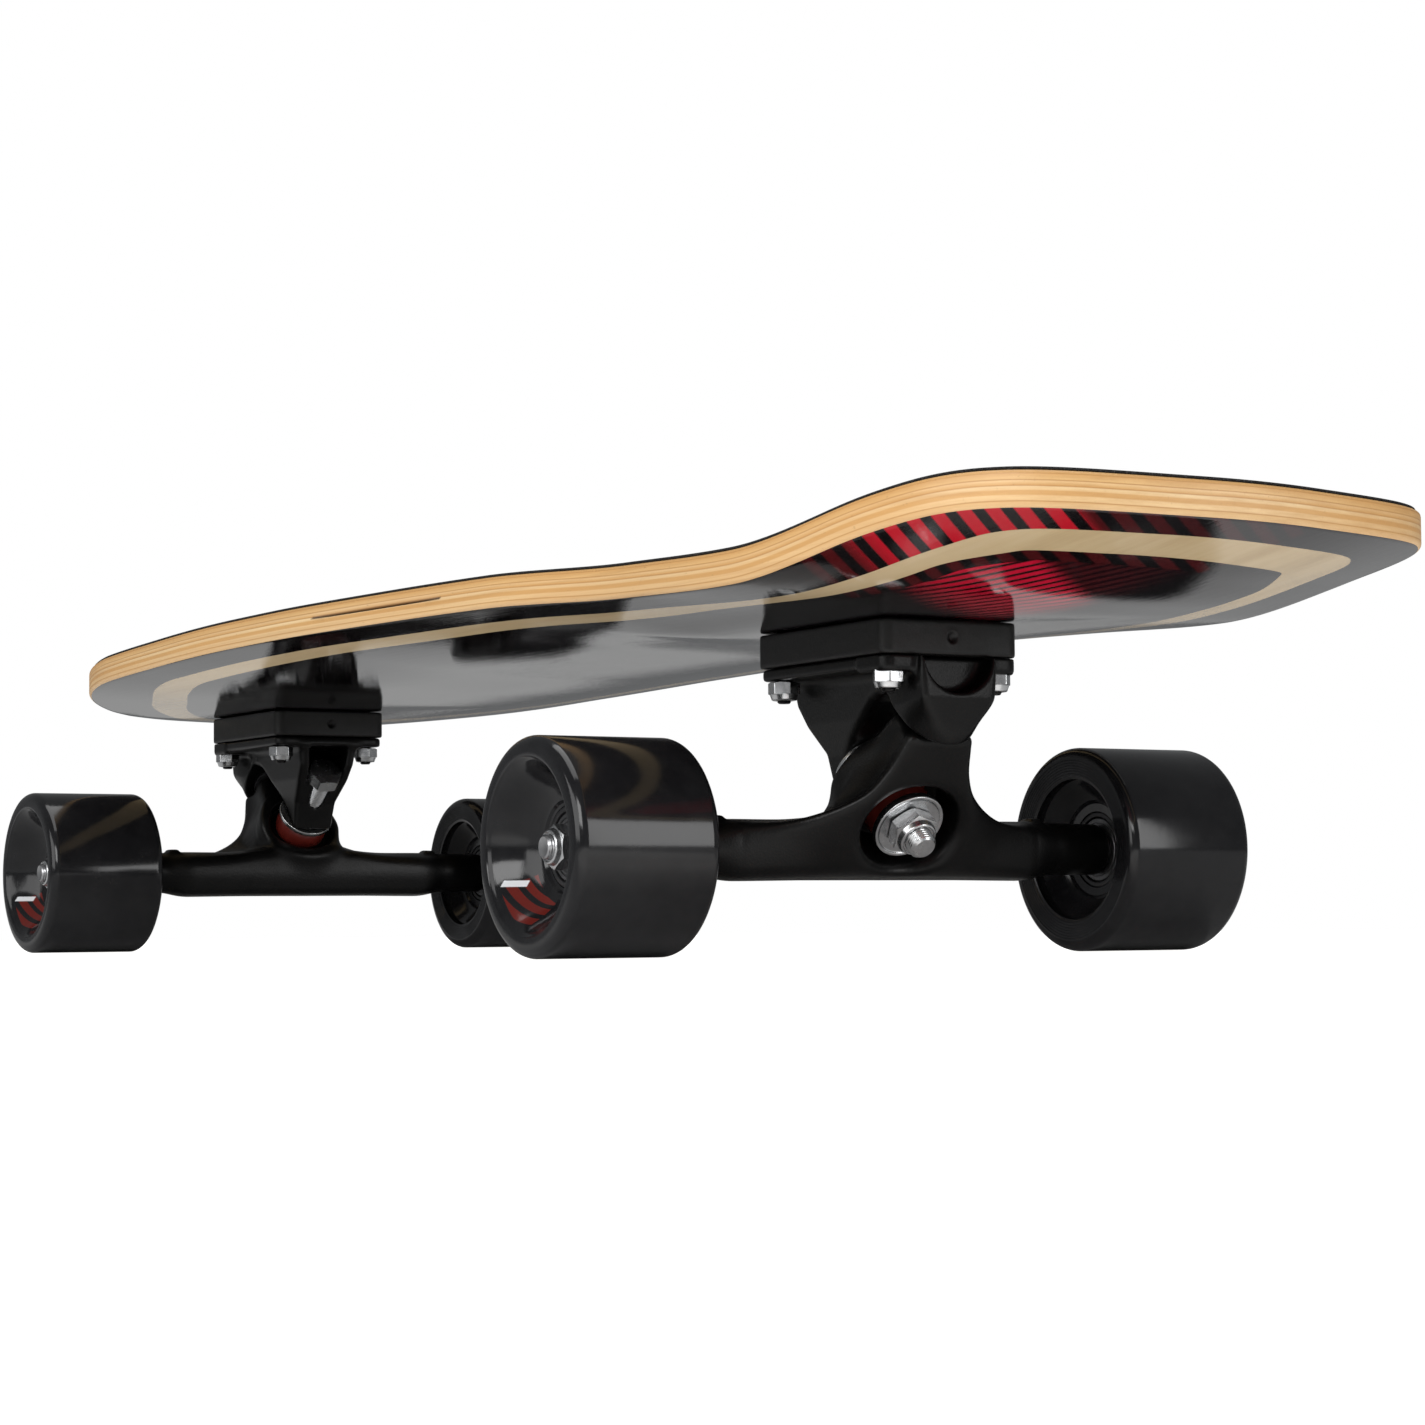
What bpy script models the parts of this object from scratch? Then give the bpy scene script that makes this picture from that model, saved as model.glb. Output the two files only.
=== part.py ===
"""Longboard skateboard: a laminated deck with grip tape, two risers, two reverse-kingpin trucks and four wheels.

Units are metres. +X runs towards the nose, +Y to the rider's left, +Z up. The wheels stand on Z = 0, and the
origin is under the middle of the deck. Lengths below are in millimetres and are turned into metres by MM.
"""

import math

import bmesh
import bpy
from mathutils import Matrix, Vector

MM = 0.001
GAP = 0.3

# Deck. Each pair is (distance from the origin along X, value there).
DECK_TAIL, DECK_NOSE = -392.0, 392.0
DECK_THICK = 10.6
DECK_HALF_WIDTH = ((-450, 98.0), (-380, 104.0), (-300, 107.0), (-220, 111.8), (-140, 113.8), (-60, 112.0),
                   (20, 106.0), (100, 101.0), (180, 94.5), (250, 95.7), (310, 94.0), (370, 86.8))
DECK_CENTRE_Z = ((-392, 109.4), (-350, 107.6), (-240, 107.6), (-150, 108.6), (-60, 109.8), (60, 109.8),
                 (150, 107.6), (250, 107.6), (290, 108.8), (330, 113.2), (392, 122.0))
DECK_EDGE_Z = ((-470, 117.5), (-390, 114.4), (-300, 113.2), (-200, 115.2), (-100, 117.0), (0, 117.4),
               (100, 116.4), (190, 112.5), (255, 110.4), (330, 119.0), (410, 128.4))
DECK_FLAT_HALF = 20.0
TAIL_CAP, TAIL_CAP_POWER = 151.0, 2.0
NOSE_CAP, NOSE_CAP_POWER = 69.5, 4.1
DECK_ROUND = 1.6
GRIP_THICK = 0.8
DECK_STATIONS = 34
DECK_ACROSS = 4

# Trucks. Lengths along the truck run outboard, from the axle towards the end of the board.
FRONT_AXLE_X, REAR_AXLE_X = 190.0, -290.0
AXLE_Z = 35.0
BOLT_CENTRE_X = 7.6
BOLT_SPACING_X, BOLT_SPACING_Y = 63.5, 41.3
PLATE_CENTRE_X = 6.4
RISER = (79.0, 52.6, 11.4)
RISER_TOP_Z = 107.3
FLANGE = (77.5, 51.2, 4.0)
FLANGE_TOP_Z = 95.6
CORNER_R = 4.0

BOLT_R, BOLT_HOLE_R = 2.4, 2.7
BOLT_HEAD_R, BOLT_HEAD_H = 4.7, 2.6
BOLT_TIP_Z = 84.0
LOCK_NUT_AF, LOCK_NUT_Z = 9.5, (85.0, 91.2)

KINGPIN_TILT = math.radians(40)
KINGPIN_FACE = (19.1, 42.0)
KINGPIN_R = 4.76
KINGPIN_NUT = (-9.6, -0.3)
KINGPIN_NUT_AF = 14.3
KINGPIN_END, KINGPIN_HEAD = -12.0, (54.0, 60.0)
KINGPIN_HEAD_AF = 14.3
WASHER_R = 12.35
ROADSIDE_WASHER = (0.0, 2.0)
ROADSIDE_BUSHING = (2.3, 12.7)
ROADSIDE_BUSHING_R = (10.2, 12.0)
RING = (13.0, 19.0)
BOARDSIDE_BUSHING = (19.3, 28.7)
BOARDSIDE_BUSHING_R = 11.6
BOARDSIDE_WASHER = (29.0, 31.0)
SEAT = 31.3
SEAT_HALF = 11.5

PIVOT_TILT = math.radians(42)
PIVOT_R, PIVOT_BORE_R = 6.0, 6.12
PIVOT_CUP_R = 9.0
PIVOT_CUP = (36.4, 45.6)
PIVOT_CENTRE = 38.0
NECK_END = 33.0

# Baseplate: the arm's inboard edge and the arch over the hanger's neck, as (outboard, up) points.
ARM_HALF_Y = 11.6
ARM_INBOARD = ((-33.2, 92.5), (-31.5, 83.0), (-25.5, 75.0), (-17.5, 66.5))
ARM_ARCH = ((12.7, 79.4), (17.0, 82.6), (21.0, 84.2), (24.5, 84.6), (30.0, 92.5))
HEAD_POCKET_HALF_Y, HEAD_POCKET = 8.6, (-30.0, 10.5)
LOBE_X, LOBE_HALF_Y, LOBE_SIDE_Z, LOBE_BOTTOM_Z = (24.0, 50.0), 14.7, 83.0, 70.2
LOBE_DRAFT, LOBE_DRAFT_Z = math.radians(18), 82.0
HOLLOW_X, HOLLOW_HALF_Y, HOLLOW_SIDE_Z, HOLLOW_BOTTOM_Z = 43.5, 12.0, 92.0, 81.5

HANGER_HALF = 90.0
HANGER_BORE_R = 4.25
HANGER_BOTTOM_Z, HANGER_INBOARD_X = 25.4, -9.4
# Hanger edges against the distance from its middle: the inboard ridge's height, the outboard ridge's distance
# outboard and height, and the outboard bottom edge's distance outboard.
INBOARD_RIDGE_Z = ((0, 46.0), (20, 45.2), (40, 42.0), (58, 40.2))
OUTBOARD_RIDGE_X = ((0, 38.0), (10, 38.0), (15.5, 33.6), (20, 30.0), (30, 22.5), (40, 16.5), (58, 9.8))
OUTBOARD_RIDGE_Z = ((0, 69.6), (10, 69.6), (15.5, 61.0), (20, 55.4), (30, 49.0), (40, 45.4), (58, 42.0))
OUTBOARD_FOOT_X = ((0, 14.0), (20, 13.2), (40, 11.0), (58, 9.0))
BEAM_STATIONS = (0, 6, 10.5, 13, 15.5, 20, 25, 30, 40, 50, 58)
COLLAR = ((62, 9.9), (68, 9.9), (74, 9.0), (90, 8.6))
# Web up to the pivot: distance up the steering axis, half width.
WEB = ((2, 15.5), (12, 14.0), (22, 12.4), (33, 10.6))
WEB_HALF_DEPTH = 8.4
RING_R = 16.6
RECESS_HALF = (18.4, 15.2)
RECESS_FLOOR = 13.0

# Axle, bearings and wheels. Distances are from the middle of the truck, along the axle.
AXLE_R, AXLE_HALF = 3.95, 124.5
AXLE_NUT, AXLE_NUT_AF, AXLE_NUT_BORE = (116.5, 122.9), 12.7, 4.3
BEARING_INNER_R, BEARING_OUTER_R, BEARING_WIDTH = 4.05, 11.0, 7.0
INBOARD_BEARING, OUTBOARD_BEARING = 91.3, 108.4
WHEEL_CENTRE = 105.0
WHEEL_R, WHEEL_HALF = 35.0, 25.5
LIP_R, LIP_INNER_R = 3.6, 28.6
CORE_END = (90.9, 115.9)
CORE_RIM_R, CORE_BODY_R, CORE_SEAT_R, CORE_SHOULDER_R = 12.9, 17.0, 11.3, 9.0
CORE_BODY = (94.5, 112.5)

ROUND_STEPS = 24
TYRE_STEPS = 36

KINGPIN_DOWN = Vector((math.cos(KINGPIN_TILT), 0.0, -math.sin(KINGPIN_TILT)))
PIVOT_UP = Vector((math.cos(PIVOT_TILT), 0.0, math.sin(PIVOT_TILT)))
FACE_POINT = Vector((KINGPIN_FACE[0], 0.0, KINGPIN_FACE[1]))
RING_CENTRE = FACE_POINT - KINGPIN_DOWN * (sum(RING) / 2)


def clear_scene():
    for obj in list(bpy.data.objects):
        bpy.data.objects.remove(obj, do_unlink=True)


def new_collection(name):
    made = bpy.data.collections.new(name)
    bpy.context.scene.collection.children.link(made)
    return made


def new_material(name, colour, roughness, metallic=0.0):
    made = bpy.data.materials.new(name)
    made.use_nodes = True
    shader = made.node_tree.nodes["Principled BSDF"]
    shader.inputs["Base Color"].default_value = (*colour, 1.0)
    shader.inputs["Roughness"].default_value = roughness
    shader.inputs["Metallic"].default_value = metallic
    made.diffuse_color = (*colour, 1.0)
    return made


def frame_along(direction, origin):
    """A matrix, in millimetres, whose +Z lies along direction and whose X stays in the upright plane."""
    z = Vector(direction).normalized()
    y = Vector((0.0, 1.0, 0.0)) if abs(z.y) < 0.9 else Vector((0.0, 0.0, 1.0))
    x = y.cross(z).normalized()
    y = z.cross(x)
    turned = Matrix((x, y, z)).transposed().to_4x4()
    return Matrix.Translation(Vector(origin)) @ turned


def kingpin_frame():
    """+Z runs up the kingpin, from the road side to the board side, from the outer washer face."""
    return frame_along(-KINGPIN_DOWN, FACE_POINT)


def pivot_frame():
    """+Z runs up the steering axis, from the middle of the hanger ring towards the pivot cup."""
    return frame_along(PIVOT_UP, RING_CENTRE)


def finished(bm, matrix=None):
    """A mesh in metres from a bmesh in millimetres, with its faces turned outwards."""
    bmesh.ops.remove_doubles(bm, verts=bm.verts, dist=0.0001)
    if matrix is not None:
        bm.transform(matrix)
    bmesh.ops.recalc_face_normals(bm, faces=bm.faces)
    bm.transform(Matrix.Scale(MM, 4))
    mesh = bpy.data.meshes.new("solid")
    bm.to_mesh(mesh)
    bm.free()
    return mesh


def turned(profile, matrix=None, steps=ROUND_STEPS, closed=True):
    """A turned solid: (radius, height) points run down the outside and, when closed, back up the bore."""
    bm = bmesh.new()
    verts = [bm.verts.new((r, 0.0, z)) for r, z in profile]
    for a, b in zip(verts, verts[1:]):
        bm.edges.new((a, b))
    if closed:
        bm.edges.new((verts[-1], verts[0]))
    axis = (0.0, 0.0, 1.0)
    bmesh.ops.spin(bm, geom=bm.verts[:] + bm.edges[:], axis=axis, cent=(0, 0, 0), steps=steps,
                   angle=2 * math.pi, use_merge=False)
    return finished(bm, matrix)


def cylinder(radius, low, high, matrix=None, steps=ROUND_STEPS, top_radius=None, chamfer=0.0):
    top = radius if top_radius is None else top_radius
    bm = bmesh.new()
    bmesh.ops.create_cone(bm, cap_ends=True, segments=steps, radius1=radius, radius2=top,
                          depth=high - low)
    bmesh.ops.translate(bm, verts=bm.verts, vec=(0, 0, (low + high) / 2))
    if chamfer:
        rims = [e for e in bm.edges if abs(e.verts[0].co.z - e.verts[1].co.z) < 1e-6]
        bmesh.ops.bevel(bm, geom=rims, offset=chamfer, segments=1, profile=0.5, affect="EDGES")
    return finished(bm, matrix)


def hexagon(across_flats, low, high, matrix=None, chamfer=0.6):
    return cylinder(across_flats / math.sqrt(3), low, high, matrix, steps=6, chamfer=chamfer)


def box(low, high, matrix=None):
    bm = bmesh.new()
    bmesh.ops.create_cube(bm, size=1.0)
    size = [b - a for a, b in zip(low, high)]
    centre = [(a + b) / 2 for a, b in zip(low, high)]
    bmesh.ops.scale(bm, verts=bm.verts, vec=size)
    bmesh.ops.translate(bm, verts=bm.verts, vec=centre)
    return finished(bm, matrix)


def rounded_plate(size, corner, centre_x, top_z, edge=0.0):
    """An upright plate with round corners, its middle at centre_x."""
    bm = bmesh.new()
    bmesh.ops.create_cube(bm, size=1.0)
    bmesh.ops.scale(bm, verts=bm.verts, vec=size)
    bmesh.ops.translate(bm, verts=bm.verts, vec=(centre_x, 0, top_z - size[2] / 2))
    upright = [e for e in bm.edges if abs(e.verts[0].co.z - e.verts[1].co.z) > size[2] / 2]
    bmesh.ops.bevel(bm, geom=upright, offset=corner, segments=4, profile=0.5, affect="EDGES")
    if edge:
        rims = [e for e in bm.edges if abs(e.calc_face_angle(0.0)) > 1.4]
        bmesh.ops.bevel(bm, geom=rims, offset=edge, segments=1, profile=0.5, affect="EDGES")
    return finished(bm)


def prism(outline, depth, matrix=None):
    """An outline of (along, up) points in the XZ plane, made into a slab of this half depth along Y."""
    bm = bmesh.new()
    face = bm.faces.new([bm.verts.new((a, -depth, b)) for a, b in outline])
    made = bmesh.ops.extrude_face_region(bm, geom=[face])
    moved = [v for v in made["geom"] if isinstance(v, bmesh.types.BMVert)]
    bmesh.ops.translate(bm, verts=moved, vec=(0, 2 * depth, 0))
    return finished(bm, matrix)


def combined(mesh, joins=(), cuts=(), keeps=()):
    """The mesh with others joined to it, kept within others, and cut away by others."""
    base = bpy.data.objects.new("solid", mesh)
    bpy.context.scene.collection.objects.link(base)
    helpers = []
    for operation, tools in (("UNION", joins), ("INTERSECT", keeps), ("DIFFERENCE", cuts)):
        for tool in tools:
            other = bpy.data.objects.new("tool", tool)
            bpy.context.scene.collection.objects.link(other)
            step = base.modifiers.new("step", "BOOLEAN")
            step.operation = operation
            step.object = other
            step.solver = "EXACT"
            helpers.append(other)
    bpy.context.view_layer.update()
    graph = bpy.context.evaluated_depsgraph_get()
    made = bpy.data.meshes.new_from_object(base.evaluated_get(graph))
    for obj in helpers + [base]:
        bpy.data.objects.remove(obj, do_unlink=True)
    return made


def smooth_curve(points, x):
    """The value at x of a curve through the points that never overshoots them."""
    xs = [p[0] for p in points]
    ys = [p[1] for p in points]
    if x <= xs[0]:
        return ys[0]
    if x >= xs[-1]:
        return ys[-1]
    slopes = [(ys[i + 1] - ys[i]) / (xs[i + 1] - xs[i]) for i in range(len(xs) - 1)]
    tangents = [slopes[0]]
    for a, b in zip(slopes, slopes[1:]):
        tangents.append(0.0 if a * b <= 0 else 2 * a * b / (a + b))
    tangents.append(slopes[-1])
    i = max(k for k in range(len(xs) - 1) if xs[k] <= x)
    h = xs[i + 1] - xs[i]
    t = (x - xs[i]) / h
    return ((1 + 2 * t) * (1 - t) ** 2 * ys[i] + t * (1 - t) ** 2 * h * tangents[i]
            + t * t * (3 - 2 * t) * ys[i + 1] + t * t * (t - 1) * h * tangents[i + 1])


def deck_half_width(x):
    """Half the deck's width at x, closing to nothing at each rounded end."""
    width = smooth_curve(DECK_HALF_WIDTH, x)
    nose = (x - (DECK_NOSE - NOSE_CAP)) / NOSE_CAP
    tail = ((DECK_TAIL + TAIL_CAP) - x) / TAIL_CAP
    if nose > 0:
        width *= math.sqrt(max(0.0, 1 - nose ** NOSE_CAP_POWER))
    if tail > 0:
        width *= math.sqrt(max(0.0, 1 - tail ** TAIL_CAP_POWER))
    return width


def deck_underside(x, y):
    """Height of the deck's underside: flat along the middle, rising towards the sides."""
    centre = smooth_curve(DECK_CENTRE_Z, x)
    rise = smooth_curve(DECK_EDGE_Z, x) - centre
    reach = smooth_curve(DECK_HALF_WIDTH, x) - DECK_FLAT_HALF
    return centre + rise * (max(0.0, abs(y) - DECK_FLAT_HALF) / reach) ** 2


def deck_stations():
    """Distances along the deck, closer together at the ends."""
    middle = (DECK_TAIL + DECK_NOSE) / 2
    half = (DECK_NOSE - DECK_TAIL) / 2
    return [middle - half * math.cos(math.pi * i / DECK_STATIONS) for i in range(DECK_STATIONS + 1)]


def across(half):
    """Distances across the deck, from one side to the other, with a flat strip along the middle."""
    flat = min(DECK_FLAT_HALF, half / 3)
    side = [flat + (half - flat) * i / DECK_ACROSS for i in range(DECK_ACROSS + 1)]
    return [-y for y in reversed(side)] + side


def layer(bottom, top, inset, edge_round):
    """A layer that follows the deck, between two heights above its underside."""
    bm = bmesh.new()
    rings = []
    for x in deck_stations():
        inner = max(deck_half_width(x) - inset, 0.0)
        shrunk = max(inner - edge_round, 0.0)
        ring = [(y, bottom) for y in across(shrunk)]
        if edge_round:
            ring += [(inner, bottom + edge_round), (inner, top - edge_round)]
        ring += [(y, top) for y in reversed(across(shrunk))]
        if edge_round:
            ring += [(-inner, top - edge_round), (-inner, bottom + edge_round)]
        rings.append([bm.verts.new((x, y, deck_underside(x, y) + up)) for y, up in ring])
    for a, b in zip(rings, rings[1:]):
        for i in range(len(a)):
            j = (i + 1) % len(a)
            bm.faces.new((a[i], a[j], b[j], b[i]))
    for ring in (rings[0], rings[-1]):
        bm.faces.new(ring)
    bmesh.ops.remove_doubles(bm, verts=bm.verts, dist=0.001)
    bmesh.ops.dissolve_degenerate(bm, edges=bm.edges, dist=0.001)
    bmesh.ops.triangulate(bm, faces=bm.faces, quad_method="SHORT_EDGE")
    return finished(bm)


def bolt_places():
    """(x, y) of the eight deck bolts, four to a truck."""
    places = []
    for axle_x, outboard in ((FRONT_AXLE_X, 1), (REAR_AXLE_X, -1)):
        for across_x in (-1, 1):
            for side in (1, -1):
                x = axle_x + outboard * (BOLT_CENTRE_X + across_x * BOLT_SPACING_X / 2)
                places.append((x, side * BOLT_SPACING_Y / 2))
    return places


def deck_mesh():
    cuts = []
    for x, y in bolt_places():
        at = Matrix.Translation((x, y, 0))
        head = deck_underside(x, y) + DECK_THICK
        cuts.append(cylinder(BOLT_HOLE_R, 90, 130, at, steps=12))
        cuts.append(cylinder(BOLT_HOLE_R, head - BOLT_HEAD_H - GAP, head + GAP, at, steps=12,
                             top_radius=BOLT_HEAD_R + 2 * GAP))
    return combined(layer(0.0, DECK_THICK, 0.0, DECK_ROUND), cuts=cuts)


def grip_mesh():
    low = DECK_THICK + GAP
    cuts = [cylinder(BOLT_HEAD_R + 2 * GAP, 100, 140, Matrix.Translation((x, y, 0)), steps=16)
            for x, y in bolt_places()]
    return combined(layer(low, low + GRIP_THICK, DECK_ROUND, 0.0), cuts=cuts)


def bolt_grid():
    """(x, y) of the four bolts, from the truck's axle."""
    return [(BOLT_CENTRE_X + i * BOLT_SPACING_X / 2, j * BOLT_SPACING_Y / 2) for i in (-1, 1) for j in (1, -1)]


def bolt_hole_cuts():
    return [cylinder(BOLT_HOLE_R, 80, 120, Matrix.Translation((x, y, 0)), steps=12) for x, y in bolt_grid()]


def riser_mesh():
    return combined(rounded_plate(RISER, CORNER_R, PLATE_CENTRE_X, RISER_TOP_Z), cuts=bolt_hole_cuts())


def trough(half, side_z, bottom_z, top_z, span):
    """A block along X between two distances, with straight sides and a half-elliptical underside."""
    arc = [(half * math.cos(a), side_z - (side_z - bottom_z) * math.sin(a))
           for a in (math.pi * i / 10 for i in range(11))]
    turn = Matrix.Rotation(math.pi / 2, 4, "Z")
    middle = Matrix.Translation(((span[0] + span[1]) / 2, 0, 0))
    return prism([(half, top_z)] + arc + [(-half, top_z)], (span[1] - span[0]) / 2, middle @ turn)


def lobe_mesh():
    """The pivot housing under the flange, squared off to the steering axis at its mouth."""
    block = trough(LOBE_HALF_Y, LOBE_SIDE_Z, LOBE_BOTTOM_Z, FLANGE_TOP_Z - 1, LOBE_X)
    mouth = box((-60, -40, -60), (60, 40, PIVOT_CUP[0]), pivot_frame())
    slope = Matrix.Translation((LOBE_X[1], 0, LOBE_DRAFT_Z)) @ Matrix.Rotation(LOBE_DRAFT, 4, "Y")
    return combined(block, cuts=(mouth, box((0, -40, -60), (60, 40, 0), slope)))


def arm_mesh():
    """The kingpin arm: side-on it runs down to the bushing seat, then up over the hanger's neck."""
    seat = [kingpin_frame() @ Vector((across, 0, SEAT)) for across in (-SEAT_HALF, SEAT_HALF)]
    seat = sorted(((p.x, p.z) for p in seat), key=lambda p: p[1])
    return prism(list(ARM_INBOARD) + seat + list(ARM_ARCH), ARM_HALF_Y)


def head_pocket_mesh():
    """The open pocket between the arm's two side ribs, with the kingpin's head on its floor."""
    pocket = box((HEAD_POCKET[0], -HEAD_POCKET_HALF_Y, KINGPIN_HEAD[0] - GAP),
                 (HEAD_POCKET[1], HEAD_POCKET_HALF_Y, 100), kingpin_frame())
    return combined(pocket, keeps=(box((-80, -40, 0), (40, 40, FLANGE_TOP_Z - FLANGE[2])),))


def baseplate_mesh():
    flange = rounded_plate(FLANGE, CORNER_R, PLATE_CENTRE_X, FLANGE_TOP_Z)
    shank = cylinder(KINGPIN_R + GAP, SEAT - 5, KINGPIN_HEAD[0] + 5, kingpin_frame())
    cup = cylinder(PIVOT_CUP_R + GAP, PIVOT_CUP[0] - 5, PIVOT_CUP[1] + GAP, pivot_frame())
    hollow = trough(HOLLOW_HALF_Y, HOLLOW_SIDE_Z, HOLLOW_BOTTOM_Z, FLANGE_TOP_Z + 5, (HOLLOW_X, 60))
    cuts = [head_pocket_mesh(), shank, cup, hollow] + bolt_hole_cuts()
    return combined(flange, joins=(arm_mesh(), lobe_mesh()), cuts=cuts)


def dome(radius, centre, steps=6):
    """(radius, height) points of a half ball's outline, from its top down to its middle."""
    return [(radius * math.sin(math.pi / 2 * i / steps), centre + radius * math.cos(math.pi / 2 * i / steps))
            for i in range(1, steps + 1)]


def pivot_cup_mesh():
    outside = cylinder(PIVOT_CUP_R, PIVOT_CUP[0], PIVOT_CUP[1], pivot_frame())
    inside = turned([(0.0, PIVOT_CENTRE + PIVOT_BORE_R)] + dome(PIVOT_BORE_R, PIVOT_CENTRE)
                    + [(PIVOT_BORE_R, PIVOT_CUP[0] - 5), (0.0, PIVOT_CUP[0] - 5)], pivot_frame(), closed=False)
    return combined(outside, cuts=(inside,))


def kingpin_mesh():
    shank = cylinder(KINGPIN_R, KINGPIN_END, KINGPIN_HEAD[0] + 2, kingpin_frame())
    return combined(hexagon(KINGPIN_HEAD_AF, *KINGPIN_HEAD, kingpin_frame()), joins=(shank,))


def nut_mesh(across_flats, span, bore, matrix=None):
    return combined(hexagon(across_flats, *span, matrix),
                    cuts=(cylinder(bore, span[0] - 5, span[1] + 5, matrix, steps=16),))


def ring_mesh(outer, bore, span, matrix, low_outer=None):
    low_outer = outer if low_outer is None else low_outer
    return turned([(outer, span[1]), (low_outer, span[0]), (bore, span[0]), (bore, span[1])], matrix)


def bridged(rings):
    """A closed solid through rings of points that all have the same count."""
    bm = bmesh.new()
    rings = [[bm.verts.new(p) for p in ring] for ring in rings]
    for a, b in zip(rings, rings[1:]):
        for i in range(len(a)):
            j = (i + 1) % len(a)
            bm.faces.new((a[i], a[j], b[j], b[i]))
    bm.faces.new(rings[0])
    bm.faces.new(rings[-1])
    return finished(bm)


def beam_section(y):
    """Eight points round the hanger's beam, from its inboard bottom edge up and over."""
    off = abs(y)
    ridge_in = (HANGER_INBOARD_X, smooth_curve(INBOARD_RIDGE_Z, off))
    ridge_out = (smooth_curve(OUTBOARD_RIDGE_X, off), smooth_curve(OUTBOARD_RIDGE_Z, off))
    foot = (smooth_curve(OUTBOARD_FOOT_X, off), HANGER_BOTTOM_Z)
    heel = (HANGER_INBOARD_X, HANGER_BOTTOM_Z)
    corners = (heel, ridge_in, ridge_out, foot)
    ring = []
    for a, b in zip(corners, corners[1:] + corners[:1]):
        ring += [a, ((a[0] + b[0]) / 2, (a[1] + b[1]) / 2)]
    return [(x, y, z) for x, z in ring]


def collar_section(y, radius):
    """Eight points round the axle, in step with beam_section."""
    angles = [math.radians(225 - 45 * i) for i in range(8)]
    stretch = 1 / math.cos(math.radians(22.5))
    return [(radius * stretch * math.cos(a) * 0.96, y, AXLE_Z + radius * stretch * math.sin(a) * 0.96)
            for a in angles]


def hanger_beam():
    half = [beam_section(y) for y in BEAM_STATIONS[1:]] + [collar_section(y, r) for y, r in COLLAR]
    mirrored = [[(x, -y, z) for x, y, z in ring] for ring in reversed(half)]
    return bridged(mirrored + [beam_section(0)] + half)


def hanger_web():
    """The web from the ring up to the pivot nose, across the steering axis."""
    rings = []
    for up, half in WEB:
        ring = []
        for i in range(12):
            angle = 2 * math.pi * (i + 0.5) / 12
            c, s = math.cos(angle), math.sin(angle)
            ring.append(pivot_frame() @ Vector((math.copysign(abs(c) ** 0.6, c) * WEB_HALF_DEPTH,
                                                math.copysign(abs(s) ** 0.6, s) * half, up)))
        rings.append(ring)
    return bridged(rings)


def hanger_mesh():
    king, pivot = kingpin_frame(), pivot_frame()
    nose = turned([(0.0, PIVOT_CENTRE + PIVOT_R)] + dome(PIVOT_R, PIVOT_CENTRE)
                  + [(PIVOT_R, NECK_END - 2), (0.0, NECK_END - 2)], pivot, closed=False)
    ring = cylinder(RING_R, RING[0] - 4, RING[1], king)
    board_side = cylinder(BOARDSIDE_BUSHING_R + 3, RING[1], 60, king)
    oval = cylinder(1.0, -30, RECESS_FLOOR, king @ Matrix.Diagonal((RECESS_HALF[1], RECESS_HALF[0], 1, 1)))
    hole = cylinder(KINGPIN_R + 3.2, 0, 40, king)
    bore = cylinder(HANGER_BORE_R, -100, 100, frame_along((0, 1, 0), (0, 0, AXLE_Z)))
    return combined(hanger_beam(), joins=(hanger_web(), ring, nose), cuts=(board_side, oval, hole, bore))


def axle_frame(side):
    return frame_along((0, side, 0), (0, 0, AXLE_Z))


def core_mesh():
    """Profile from the outboard end, down the outside and back up the bore. Zero is the wheel's middle."""
    low, high = (end - WHEEL_CENTRE for end in CORE_END)
    body_low, body_high = (end - WHEEL_CENTRE for end in CORE_BODY)
    seat_out = OUTBOARD_BEARING - WHEEL_CENTRE - GAP
    seat_in = INBOARD_BEARING + BEARING_WIDTH - WHEEL_CENTRE + GAP
    return turned([(CORE_RIM_R, high), (CORE_RIM_R, body_high), (CORE_BODY_R, body_high),
                   (CORE_BODY_R, body_low), (CORE_RIM_R, body_low), (CORE_RIM_R, low), (CORE_SEAT_R, low),
                   (CORE_SEAT_R, seat_in), (CORE_SHOULDER_R, seat_in), (CORE_SHOULDER_R, seat_out),
                   (CORE_SEAT_R, seat_out), (CORE_SEAT_R, high)])


def lip_arc(sign, steps=2):
    """(radius, height) points of the rounded outer corner, from the face to the tread or back."""
    centre_r, centre_z = WHEEL_R - LIP_R, sign * (WHEEL_HALF - LIP_R)
    arc = [(centre_r + LIP_R * math.sin(a), centre_z + sign * LIP_R * math.cos(a))
           for a in (math.pi / 2 * i / steps for i in range(steps + 1))]
    return arc if sign > 0 else arc[::-1]


def tyre_mesh():
    low, high = (end - WHEEL_CENTRE for end in CORE_END)
    body_low, body_high = (end - WHEEL_CENTRE for end in CORE_BODY)
    rim, body = CORE_RIM_R + GAP, CORE_BODY_R + GAP
    profile = lip_arc(1) + lip_arc(-1)
    profile += [(LIP_INNER_R, -WHEEL_HALF), (rim + 2, low), (rim, low), (rim, body_low - GAP),
                (body, body_low - GAP), (body, body_high + GAP), (rim, body_high + GAP), (rim, high),
                (rim + 1.5, high), (LIP_INNER_R, WHEEL_HALF)]
    return turned(profile, steps=TYRE_STEPS)


def bearing_mesh():
    """A bearing with its outboard shield set a little below the rings."""
    half, step = BEARING_WIDTH / 2, 0.4
    inner, outer = BEARING_INNER_R + 2.2, BEARING_OUTER_R - 1.8
    return turned([(BEARING_OUTER_R, half), (BEARING_OUTER_R, -half), (BEARING_INNER_R, -half),
                   (BEARING_INNER_R, half), (inner, half), (inner, half - step), (outer, half - step),
                   (outer, half)])


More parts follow.
